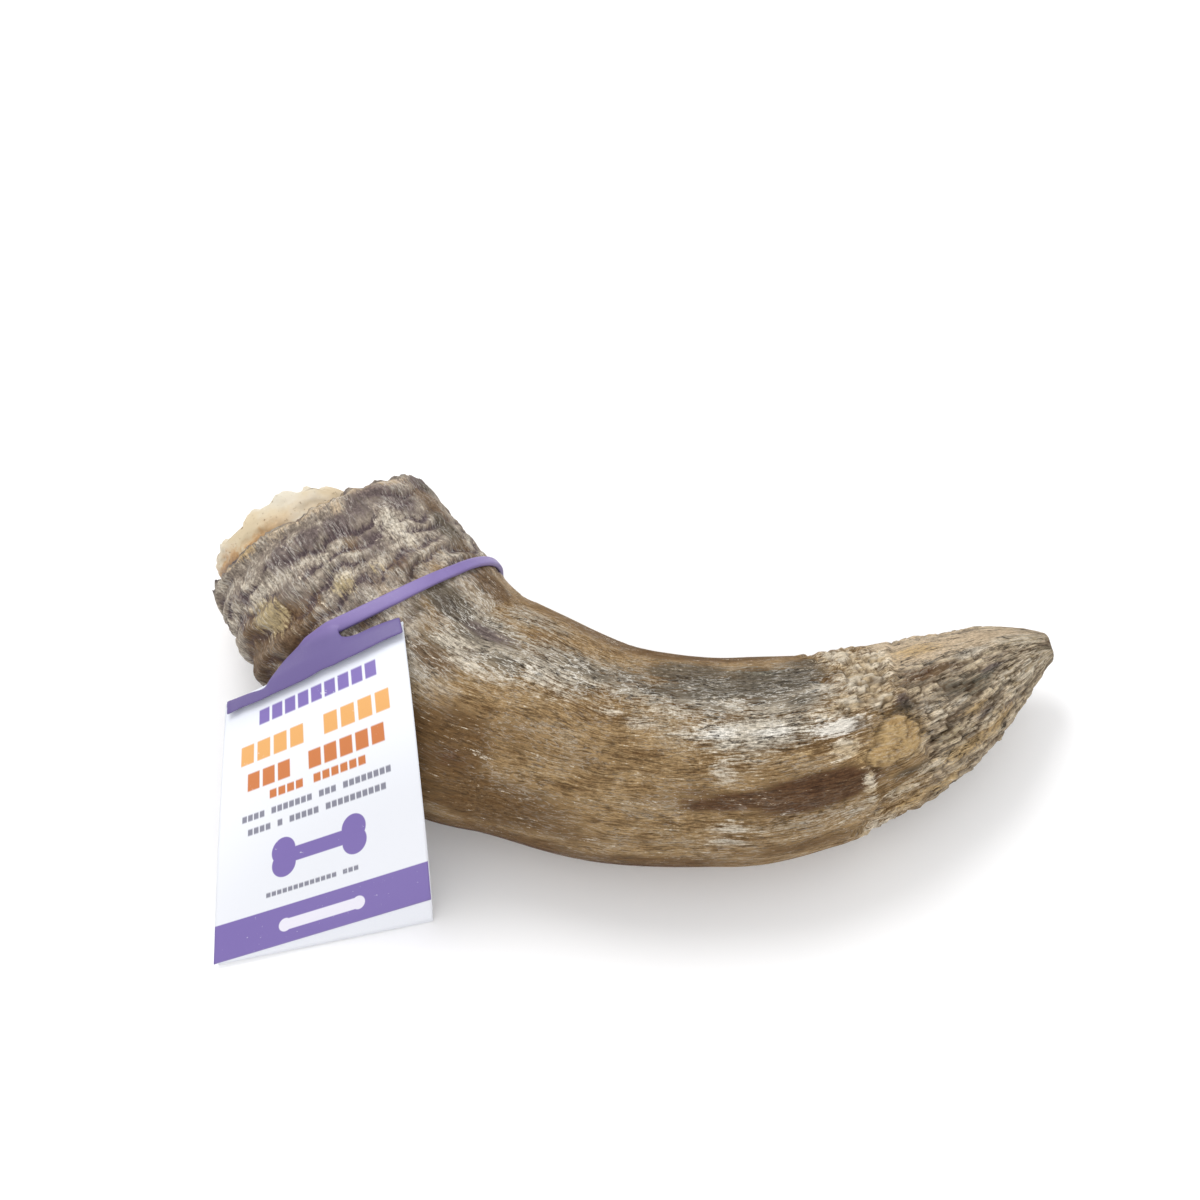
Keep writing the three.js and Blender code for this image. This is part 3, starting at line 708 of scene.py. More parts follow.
# Where the horn's colours lie: (place along it, degrees round it, half length, half width, strength).
PATCHES = {
    "grey": [
        (44, -8, 15, 15, 0.9), (60, -13, 14, 15, 0.9), (76, -15, 16, 14, 0.7), (93, -13, 16, 18, 0.85),
        (109, -15, 13, 20, 1.0), (35, -34, 10, 16, 0.6), (50, -36, 12, 12, 0.55), (110, 62, 12, 10, 0.4),
        (100, 24, 9, 8, 0.4), (34, 12, 8, 14, 0.6), (150, 150, 30, 60, 0.5), (60, 170, 30, 40, 0.5),
        (90, -120, 30, 30, 0.5), (34, 130, 14, 40, 0.7), (104, 8, 14, 12, 1.0), (40, -16, 12, 12, 1.1),
    ],
    "tan": [
        (0.8, -28, 1.6, 17, 1.3), (0.3, 12, 1.8, 20, 1.3), (3, -4, 2, 5, 0.8), (0, 52, 1.2, 12, 0.9),
        (145, -31, 12, 15, 1.4), (158, -24, 10, 17, 1.3), (137, -40, 6, 12, 1.0), (150, -60, 20, 14, 0.8),
    ],
    # The umber rows at 119 and 121 degrees are painted shade: a dark line along the underside near the floor.
    "umber": [
        (45, 38, 8, 14, 1.2), (52, 60, 10, 12, 1.0), (66, 74, 14, 8, 0.7), (84, -54, 34, 13, 1.1),
        (58, 67, 15, 17, 1.1), (50, 121, 26, 12, 1.1), (95, 119, 30, 11, 1.1), (18, 46, 7, 16, 1.2),
        (19, 80, 6, 14, 1.2), (16, 28, 4, 8, 0.5), (7, -52, 9, 12, 0.85), (21, -49, 9, 9, 0.75),
        (19, -11, 4, 10, 0.5), (70, 30, 8, 7, 0.4), (86, 44, 8, 6, 0.4), (110, 82, 16, 8, 0.6),
        (70, 140, 24, 30, 0.5), (128, 56, 4, 5, 0.5), (142, -6, 7, 5, 1.0), (171.5, 4, 1.6, 12, 1.2),
        (35, -44, 9, 11, 1.1), (36, 8, 6, 7, 0.7), (144, 60, 3, 8, 0.7), (139, 70, 3, 8, 0.6),
        (15, 66, 5, 9, 1.2), (11, -1, 2.5, 6, 0.7), (78, -17, 8, 4, 0.5), (46, 50, 7, 12, 1.3),
        (56, 28, 12, 12, 0.45), (60, 95, 22, 10, 1.4), (86, 93, 16, 8, 1.0),
    ],
    "plum": [
        (6.5, 30, 2.4, 9, 1.1), (6, 15, 2.2, 9, 1.0), (6.5, 0, 2.4, 9, 1.1), (2.6, -23, 2, 10, 1.1),
        (1.5, -54, 2.5, 6, 1.6), (5, -30, 5, 16, 0.7), (5, -12, 4, 8, 0.8), (12, 34, 3, 8, 0.5),
        (13, -8, 3, 8, 0.6), (19, 8, 3, 12, 0.4), (11.5, -8, 1.4, 8, 0.8), (12, 36, 1, 9, 0.5),
        (7, -34, 4, 9, 0.9), (20, -14, 4, 8, 0.4), (31, -15, 4, 6, 0.8), (41, -15, 9, 4, 1.0),
        (4, 110, 2, 20, 0.7), (12, 140, 2, 30, 0.5), (20, -90, 3, 30, 0.5), (9, -130, 3, 40, 0.6),
        (132, 8, 3, 6, 0.9), (153, 14, 4, 5, 0.9), (153, 58, 4, 6, 0.7), (147, 46, 3, 5, 0.7),
        (158, 4, 5, 5, 0.5),
    ],
    "maroon": [
        (96, 48, 8, 4, 1.0), (103, 45, 9, 5, 1.3), (112, 46, 9, 9, 2.2), (119, 47, 5, 6, 1.3),
        (46, 48, 5, 7, 0.5), (138, -9, 7, 8, 0.55), (147, 0, 6, 5, 0.5), (127, 46, 5, 5, 0.4),
        (140, 34, 6, 7, 0.5), (120, 150, 14, 16, 0.5), (92, 40, 5, 4, 0.5), (58, 103, 20, 6, 1.2),
        (84, 102, 16, 5, 0.9),
    ],
    "slate": [
        (31, -17, 6, 8, 1.3), (35, 0, 5, 6, 0.5), (28, -4, 3, 12, 0.5), (90, -29, 10, 9, 1.3),
        (97, -18, 11, 8, 1.3), (84, -15, 6, 4, 0.9), (68, -16, 9, 6, 0.6), (104, -22, 9, 12, 1.5),
        (113, -24, 7, 10, 1.3), (112, -8, 4, 5, 0.7), (97, -8, 6, 4, 0.6), (132, 13, 4, 7, 0.9),
        (144, 14, 7, 6, 0.7), (148, 22, 7, 8, 0.7), (129, 53, 4, 4, 0.7), (16, -47, 6, 8, 0.9),
        (48, -4, 5, 3, 0.8), (92, -13, 8, 4, 0.8), (2, -60, 2.5, 9, 0.9), (38, -10, 5, 4, 0.7),
        (76, -22, 8, 6, 0.6), (99, -14, 8, 5, 0.8), (62, -22, 6, 4, 0.4), (140, 120, 12, 30, 0.5),
        (138, 44, 4, 5, 0.6), (117, -38, 7, 8, 0.8),
    ],
    "moss": [
        (150, 20, 7, 10, 0.6), (144, 8, 6, 6, 0.45), (106, -32, 8, 6, 0.5), (156, 34, 5, 7, 0.45),
    ],
    "straw": [
        (13, 51, 3.5, 9, 1.0), (16, 14, 2.5, 7, 0.8), (17, -2, 2, 5, 0.5), (140, 46, 6, 6, 0.5),
    ],
    "pale": [
        (0, 8, 1.3, 17, 1.2), (37, -3, 5, 6, 0.6), (44, 3, 6, 4, 0.7), (56, -4, 6, 6, 0.8),
        (61, 0, 5, 4, 0.6), (73, 2, 5, 4, 0.6), (80, 5, 6, 4, 0.7), (118, -14, 4, 6, 0.8),
        (98, 62, 4, 5, 0.6), (98, 72, 5, 4, 0.6), (100, 8, 13, 9, 0.85), (97, 30, 3, 8, 0.6),
        (99, -8, 4, 6, 0.6), (65, -10, 10, 4, 0.5), (88, -2, 8, 4, 0.5), (100, -2, 8, 4, 0.4),
        (9, 46, 1.5, 10, 0.7), (10.5, 17, 1.6, 9, 0.5), (14.5, 12, 1.4, 9, 0.4), (12, -22, 5, 9, 0.75),
        (7, 84, 3, 8, 0.6), (118, 66, 5, 6, 0.4), (152, -10, 6, 5, 0.9), (163, -12, 6, 9, 1.0),
        (50, 120, 14, 16, 0.5), (120, -110, 16, 24, 0.5), (156, -100, 8, 40, 0.5), (143, 26, 3, 5, 0.6),
        (137, 20, 3, 5, 0.6),
    ],
    "amber": [
        (0.5, 44, 1.6, 10, 0.7), (129, 29, 5.5, 14, 1.4), (124, 35, 4, 6, 1.2), (142, -30, 7, 8, 0.7),
        (142, 64, 8, 9, 0.8), (150, 64, 6, 8, 0.8), (134, 84, 10, 9, 0.7), (110, 24, 5, 4, 0.4),
        (146, 38, 4, 6, 0.7),
    ],
    "cream": [
        (125, -42, 5, 15, 0.95), (127, -14, 6, 14, 1.2), (122, 0, 4, 8, 1.0), (131, -30, 5, 13, 1.0),
        (128, 3, 4, 7, 1.1), (118, 25, 3.5, 7, 0.9), (121.3, 50, 1.5, 10, 0.7), (121.3, 61, 1.5, 6, 0.7),
        (150, 54, 4, 5, 0.9), (157, 28, 5, 7, 0.9), (127, 68, 5, 6, 0.8), (134, 62, 5, 6, 0.8),
        (117, 4, 5, 4, 0.7), (124, -70, 5, 16, 0.8), (165, 38, 7, 16, 1.5), (164, -6, 7, 14, 0.9),
        (124, 110, 6, 30, 0.8), (126, -120, 7, 30, 0.9), (122, 170, 5, 30, 0.7), (138, 28, 4, 6, 0.8),
        (143, 50, 3, 5, 0.8), (156, 48, 5, 8, 0.8), (146, 76, 8, 8, 0.7), (133, 40, 3, 5, 0.7),
    ],
    "chalk": [
        (96, 8, 4, 5, 0.75), (106, 9, 5, 4, 0.8), (118, 13, 6, 6, 1.0), (99, 68, 3, 3, 0.35),
        (11, -22, 4, 7, 0.25), (54, -5, 4, 3, 0.4),
    ],
}


def paint_patches(piece):
    """Stores each colour's share on the mesh, from 0 to 1."""
    count = len(piece.data.vertices)
    grain = np.zeros(3 * count, np.float32)
    piece.data.attributes["grain"].data.foreach_get("vector", grain)
    x, y, place = grain.reshape(-1, 3).T
    degrees = np.degrees(np.arctan2(y, x))
    for name, rows in PATCHES.items():
        share = np.zeros(count)
        for at, at_degrees, half_length, half_width, strength in rows:
            turn = (degrees - at_degrees + 180) % 360 - 180
            fall = np.exp(-((place - at) / half_length) ** 2 - (turn / half_width) ** 2)
            share = np.maximum(share, strength * fall)
        layer = piece.data.attributes.new(name, "FLOAT", "POINT")
        layer.data.foreach_set("value", share.astype(np.float32))


def relax_bend(skin):
    """Spreads the rings that crowd together on the hollow side of the bend."""
    grain = skin.verts.layers.float_vector["grain"]
    crowded = []
    for vert in skin.verts:
        x, y, place = vert[grain]
        degrees = math.degrees(math.atan2(y, x))
        if BEND_PLACES[0] < place < BEND_PLACES[1] and BEND_DEGREES[0] < degrees < BEND_DEGREES[1]:
            crowded.append(vert)
    for _ in range(BEND_ROUNDS):
        bmesh.ops.smooth_vert(
            skin, verts=crowded, factor=0.5, use_axis_x=True, use_axis_y=True, use_axis_z=True)


def build_horn(sizes, material):
    """The horn: socket wall, torn rim, ridged and grooved skin, ledge and blunt tip."""
    socket_edge = 0.6
    skin_edge = 0.4
    inner = [("socket", ring) for ring in steps(SOCKET_DEPTH - 1, socket_edge, 18)]
    rim = [("rim", share) for share in steps(0.12, 0.88, 6)]
    skin = [("skin", ring) for ring in [
        *steps(skin_edge, 44, 110), *steps(44.7, 114, 98), *steps(114.3, LINE.length, 204)]]
    rows = [("end", 0), *inner, *rim, *skin, ("tip", 0)]

    turns = [2 * math.pi * i / 24 for i in range(24)]
    socket_end = middle_of([socket_point(SOCKET_DEPTH, turn) for turn in turns])
    tip_middle = middle_of([skin_point(LINE.length, turn, sizes)[0] for turn in turns])
    tip_end = tip_middle + Vector((TIP_STANDS, 0, 0))

    def place_of(row, angle):
        kind, value = rows[row]
        if kind == "end":
            return socket_end, straightened(SOCKET_DEPTH, angle), (0.5, 0, 0.5)
        if kind == "tip":
            return tip_end, straightened(LINE.length, angle), (1, 0, 0.5)
        if kind == "socket":
            return socket_point(value, angle), straightened(-value, angle), (0.5, 0, 0.5)
        if kind == "rim":
            outer = skin_point(skin_edge, angle, sizes)[0]
            point = socket_point(socket_edge, angle).lerp(outer, value)
            forward = LINE.section(1)[0] - LINE.section(0)[0]
            rounded = math.sin(math.pi * value) ** 0.6
            layer = along_fibres(8 * value, angle, 5, 0.8, 2.7)
            torn = 1.3 * layer + 0.8 * along_fibres(8 * value, angle, 1.1, 1, 6.2)
            torn += 1.6 * along_fibres(8 * value, angle, 3, 3, 9.6)
            teeth = max(along_fibres(4 * value, angle, 0.8, 1, 5.1) - 0.05, 0)
            teeth *= 2 * sizes.fray_length * math.exp(-((degrees_round(angle) - FRAY[0]) / FRAY[1]) ** 2)
            across = Vector((8 * value, 5 * math.cos(angle), 5 * math.sin(angle)))
            return point - forward * rounded * (1 + torn + teeth), across, (clamp(0.6 + layer), 0, 0.5)
        point, place, looks = skin_point(value, angle, sizes)
        return point, straightened(place, angle), looks

    skin_mesh = wrapped_skin(sizes.around, len(rows) - 1, place_of, ("grain", "relief"))
    relax_bend(skin_mesh)
    paint_patches(add_piece("horn", skin_mesh, ["horn_sheath"], [material]))


def core_stands(across):
    """How far the core's broken end stands out of the rim, for a place across the socket from -1 to 1."""
    return lerp(-CORE_SUNK, CORE_STANDS, smoothstep(across, *CORE_BREAK))


def build_core(material):
    """The bone core: its side in the socket and its lumpy broken end."""
    around = 150
    edge_at = 0.985
    rows = [("side", depth) for depth in steps(0, edge_at, 60)]
    rows += [("end", fill) for fill in steps(edge_at, 0, 44)]

    def lumps(across, upward):
        spot = Vector((3.1 * across, 3.1 * upward, 0.4))
        bumps = max(noise.noise(spot * 1.9 + Vector((5.3, 0, 0))) - 0.18, 0)
        broad = 0.7 * noise.noise(spot) + 0.5 * noise.noise(spot * 2.7)
        return broad + 0.3 * noise.noise(spot * 8) + 3 * bumps

    def place_of(row, angle):
        kind, value = rows[row]
        if kind == "side":
            ring = lerp(SOCKET_DEPTH - 1.5, -core_stands(math.sin(angle)), value)
            wear = 1.2 * noise.noise(on_circle(angle, 4, ring / 3))
            swell = 0.7 * noise.noise(on_circle(angle, 9, ring / 1.3))
            return socket_point(ring, angle, CORE_GAP + max(wear + swell, -0.15)), on_circle(angle, 1, ring)
        across = value * math.sin(angle)
        upward = value * math.cos(angle)
        knobs = 0.9 * smoothstep(noise.noise(on_circle(angle, 2.3, 7.7)), 0, 0.3)
        degrees = degrees_round(angle)
        knobs += sum(tall * math.exp(-((degrees - at) / half) ** 4) for at, half, tall in CORE_SPLINTERS)
        edge = smoothstep(value, 0.75, 0.93) * knobs
        stands = core_stands(across) + lumps(across, upward) - 1.9 * value ** 14 + edge + 0.5
        return socket_point(-stands, angle, CORE_GAP, value), Vector((upward, across, -stands))

    core = wrapped_skin(around, len(rows) - 1, place_of)
    add_piece("core", core, ["bone_core"], [material])


def build_strap(looks):
    """The strap that lies on the crests of the ridges all the way round, with rounded corners."""
    corner_count = 20
    around = 420
    squareness = 0.32

    def section_corner(turn):
        """A rounded rectangle as a squared circle: sideways and outwards shares from -1 to 1."""
        x, y = math.cos(turn), math.sin(turn)
        return math.copysign(abs(x) ** squareness, x), math.copysign(abs(y) ** squareness, y)

    def place_of(row, angle):
        sideways, outwards = section_corner(2 * math.pi * row / corner_count)
        ring = course_at(BAND_COURSE, angle) + sideways * looks.width / 2
        depth = (outwards + 1) / 2
        lift = 0.7 * crest(ring, angle, 0.55) + STRAP_CLEAR + depth * looks.thickness
        section = LINE.section(ring_unleaned(ring, angle) + lean(ring, angle))
        point = lifted_point(section, angle, lift)
        point.z = max(point.z, BAND_LOWEST + (1 - depth) * looks.thickness)
        return point, Vector()

    return wrapped_skin(around, corner_count, place_of, closed_along=True)


def leaf_point(u, v, low_left, low_right, behind):
    """A point of a leaf of the tag: u runs from left to right, v from the fold to the lower edge."""
    left = CARD_TOP_LEFT.lerp(low_left, v)
    right = CARD_TOP_RIGHT.lerp(low_right, v)
    bow = lerp(CARD_BOW_LEFT, CARD_BOW_RIGHT, u) * math.sin(math.pi * v ** 0.9)
    across = CARD_BOW_ACROSS * (1 - (2 * u - 1) ** 2) * (1 - v) ** 1.5
    point = left.lerp(right, u) + TAG_FACING * (bow + across)
    point.x += CARD_BOW_LEANS * bow
    return point - CARD_NORMAL * behind


def front_point(u, v):
    return leaf_point(u, v, FRONT_LOW_LEFT, FRONT_LOW_RIGHT, 0)


def rear_point(u, v):
    """The rear leaf bows less than the front one above its lower edge, most of all on the right."""
    slack = REAR_SLACK * u ** 1.5 * v ** 5 * (1 - v)
    behind = 2 * FOLD_RADIUS * (1 - v)
    return leaf_point(u, v, REAR_LOW_LEFT, REAR_LOW_RIGHT, behind) - TAG_FACING * slack


def build_card(looks, printed, plain):
    """The folded card: front leaf, fold and rear leaf in one sheet."""
    across = 72
    front = [("front", v) for v in steps(1, 0, 90)]
    fold = [("fold", turn) for turn in steps(math.radians(20), math.radians(160), 7)]
    rear = [("rear", v) for v in steps(0, 1, 60)]
    rows = front + fold + rear
    sheet = bmesh.new()
    bmesh.ops.create_grid(sheet, x_segments=across, y_segments=len(rows) - 1, size=1)
    spot = sheet.verts.layers.float_vector.new("spot")
    for vert in sheet.verts:
        u = (vert.co.x + 1) / 2
        kind, value = rows[round((vert.co.y + 1) / 2 * (len(rows) - 1))]
        if kind == "front":
            point = front_point(u, value)
            vert[spot] = (u, 1 - value, 0)
        elif kind == "rear":
            point = rear_point(u, value)
            vert[spot] = (u, 2 + value, 0)
        else:
            centre = front_point(u, 0) - CARD_NORMAL * FOLD_RADIUS
            point = centre + CARD_NORMAL * FOLD_RADIUS * math.cos(value)
            point += CARD_UP * FOLD_RADIUS * math.sin(value)
            vert[spot] = (u, 1 + value, 0)
        vert.co = point * MM
    print_map = sheet.loops.layers.uv.new("print")
    for face in sheet.faces:
        face.smooth = True
        for loop in face.loops:
            loop[print_map].uv = loop.vert[spot].xy
    piece = add_piece("tag", sheet, ["tag_card"], [printed, plain])
    body = piece.modifiers.new("thickness", "SOLIDIFY")
    body.thickness = looks.thickness * MM
    body.offset = 0
    body.material_offset = 1
    body.material_offset_rim = 1


def smooth_course(points, share):
    """A point on the open curve through points of a plane."""
    return catmull_rom([Vector(point) for point in points], share, True)


def build_web(looks, horn, card):
    """The web, draped over the horn and the card's head and pulled taut between its edges."""
    across = 110
    up_rows = 26
    depsgraph = bpy.context.evaluated_depsgraph_get()
    trees = [BVHTree.FromObject(piece, depsgraph) for piece in (horn, card)]
    far_out = 0.2
    felt_below = (-1.2, -0.6, 0, 0.6)
    deepest_dip = 0.15

    def height_at(flat):
        start = (Vector((flat.x, 0, 0)) + TAG_UPWARD * flat.y) * MM + TAG_FACING * far_out
        hits = [tree.ray_cast(start, -TAG_FACING) for tree in trees]
        distances = [hit[3] for hit in hits if hit[3] is not None]
        return (far_out - min(distances)) / MM if distances else None

    def taut(heights, step):
        """The heights pulled up to the straight lines between them, and falling no steeper than WEB_FALL."""
        pulled = []
        for row, here in enumerate(heights):
            best = here
            for i in range(row):
                for j in range(row + 1, len(heights)):
                    best = max(best, lerp(heights[i], heights[j], (row - i) / (j - i)))
            pulled.append(max(best, pulled[-1] - WEB_FALL * step) if pulled else best)
        return pulled

    columns = []
    for share in steps(0, 1, across):
        low = smooth_course(WEB_LOWER, share)
        high = smooth_course(WEB_UPPER, share)
        flats = [low.lerp(high, part) for part in steps(0, 1, up_rows)]
        heights = []
        for flat in flats:
            near = [height_at(flat + Vector((0, off))) for off in felt_below]
            found = [height for height in near if height is not None]
            heights.append(max(found) if found else heights[-1])
        columns.append((flats, taut(heights, (high - low).length / up_rows)))

    def height_of(column, row):
        """The mean of a place and its neighbours, which takes out the drape's steps."""
        rows = range(max(row - 1, 0), min(row + 2, up_rows + 1))
        near = range(max(column - 2, 0), min(column + 3, across + 1))
        heights = [columns[c][1][r] for c in near for r in rows]
        return max(sum(heights) / len(heights), columns[column][1][row] - deepest_dip)

    web = bmesh.new()
    bmesh.ops.create_grid(web, x_segments=across, y_segments=up_rows, size=1)
    for vert in web.verts:
        column = round((vert.co.x + 1) / 2 * across)
        row = round((vert.co.y + 1) / 2 * up_rows)
        flat = columns[column][0][row]
        height = height_of(column, row) + WEB_CLEAR
        vert.co = ((Vector((flat.x, 0, 0)) + TAG_UPWARD * flat.y) + TAG_FACING * height) * MM
    bmesh.ops.recalc_face_normals(web, faces=web.faces)
    outer = bmesh.ops.extrude_face_region(web, geom=web.faces[:])["geom"]
    raised = [item for item in outer if isinstance(item, bmesh.types.BMVert)]
    bmesh.ops.translate(web, verts=raised, vec=TAG_FACING * looks.web_thickness * MM)
    bmesh.ops.recalc_face_normals(web, faces=web.faces)
    return web


def build_band(looks, material, horn, card):
    """The strap and the web as one moulded piece."""
    band = build_strap(looks)
    web = build_web(looks, horn, card)
    web_mesh = bpy.data.meshes.new("web")
    web.to_mesh(web_mesh)
    web.free()
    band.from_mesh(web_mesh)
    piece = add_piece("band", band, ["tag_band"], [material])
    fuse = piece.modifiers.new("fuse", "REMESH")
    fuse.mode = "VOXEL"
    fuse.voxel_size = FUSE_VOXEL * MM
    fuse.use_smooth_shade = True
    soften = piece.modifiers.new("soften", "SMOOTH")
    soften.factor = 0.5
    soften.iterations = SOFTEN_ROUNDS


class Finish:
    """A node material in the making."""

    def __init__(self, name):
        self.material = bpy.data.materials.new(name)
        self.material.use_nodes = True
        self.tree = self.material.node_tree
        self.tree.nodes.clear()
        self.shader = self.add("ShaderNodeBsdfPrincipled")
        output = self.add("ShaderNodeOutputMaterial")
        self.tree.links.new(self.shader.outputs["BSDF"], output.inputs["Surface"])

    def add(self, kind, **settings):
        node = self.tree.nodes.new(kind)
        for key, value in settings.items():
            setattr(node, key, value)
        return node

    def feed(self, socket, value):
        if isinstance(value, bpy.types.NodeSocket):
            self.tree.links.new(value, socket)
        else:
            socket.default_value = value

    def set(self, **values):
        """Sets the shader's sockets by their names, with _ for a space."""
        for key, value in values.items():
            self.feed(self.shader.inputs[key.replace("_", " ")], value)

    def share(self, name):
        return self.add("ShaderNodeAttribute", attribute_name=name).outputs["Fac"]

    def vector(self, name):
        return self.add("ShaderNodeAttribute", attribute_name=name).outputs["Vector"]

    def math(self, operation, first, second=0.0, third=0.0):
        node = self.add("ShaderNodeMath", operation=operation)
        for socket, value in zip(node.inputs, (first, second, third)):
            self.feed(socket, value)
        return node.outputs[0]

    def times(self, first, second):
        return self.math("MULTIPLY", first, second)

    def most(self, first, second):
        return self.math("MAXIMUM", first, second)

    def added(self, value, weight, under):
        """A value times its weight, added to the one under it."""
        return self.math("MULTIPLY_ADD", value, weight, under)

    def less(self, first, second=0.5):
        """The first less the second, or less the middle of a noise."""
        return self.math("SUBTRACT", first, second)

    def axes(self, vector):
        node = self.add("ShaderNodeSeparateXYZ")
        self.feed(node.inputs[0], vector)
        return node.outputs

    def spot(self):
        """The object's own coordinates."""
        return self.add("ShaderNodeTexCoord").outputs["Object"]

    def stretched(self, vector, around, along):
        node = self.add("ShaderNodeVectorMath", operation="DIVIDE")
        self.feed(node.inputs[0], vector)
        node.inputs[1].default_value = (around, around, along)
        return node.outputs[0]

    def swirled(self, vector, width, reach):
        """The vector with the fibres bent to and fro."""
        bend = self.add("ShaderNodeTexNoise")
        self.feed(bend.inputs["Vector"], self.stretched(vector, width, 2 * width))
        bend.inputs["Scale"].default_value = 1.0
        bend.inputs["Detail"].default_value = 2.0
        node = self.add("ShaderNodeVectorMath", operation="MULTIPLY_ADD")
        self.feed(node.inputs[0], bend.outputs["Color"])
        node.inputs[1].default_value = (reach, reach, 0)
        self.feed(node.inputs[2], vector)
        return node.outputs[0]

    def shifted(self, vector, offset):
        """The vector moved along the horn by an offset."""
        combined = self.add("ShaderNodeCombineXYZ")
        self.feed(combined.inputs["Z"], offset)
        node = self.add("ShaderNodeVectorMath", operation="ADD")
        self.feed(node.inputs[0], vector)
        self.feed(node.inputs[1], combined.outputs[0])
        return node.outputs[0]

    def noise(self, vector, detail=3.0, roughness=0.6, scale=1.0):
        node = self.add("ShaderNodeTexNoise")
        self.feed(node.inputs["Vector"], vector)
        node.inputs["Scale"].default_value = scale
        node.inputs["Detail"].default_value = detail
        node.inputs["Roughness"].default_value = roughness
        return node.outputs["Fac"]

    def ramp(self, value, low, high, start=0.0, end=1.0):
        node = self.add("ShaderNodeMapRange", interpolation_type="SMOOTHSTEP")
        for socket, item in zip(node.inputs, (value, low, high, start, end)):
            self.feed(socket, item)
        return node.outputs[0]

    def blend(self, share, under, over, kind="MIX"):
        node = self.add("ShaderNodeMix", data_type="RGBA", blend_type=kind)
        colours = [socket for socket in node.inputs if socket.type == "RGBA"]
        self.feed(node.inputs[0], share)
        self.feed(colours[0], under)
        self.feed(colours[1], over)
        return next(socket for socket in node.outputs if socket.type == "RGBA")

    def bump(self, height, depth, under=None):
        node = self.add("ShaderNodeBump")
        node.inputs["Strength"].default_value = 1.0
        node.inputs["Distance"].default_value = depth * MM
        self.feed(node.inputs["Height"], height)
        if under is not None:
            self.feed(node.inputs["Normal"], under)
        return node.outputs["Normal"]

    def grey(self, value):
        """A value as a grey colour."""
        node = self.add("ShaderNodeCombineColor")
        for socket in node.inputs[:3]:
            self.feed(socket, value)
        return node.outputs[0]


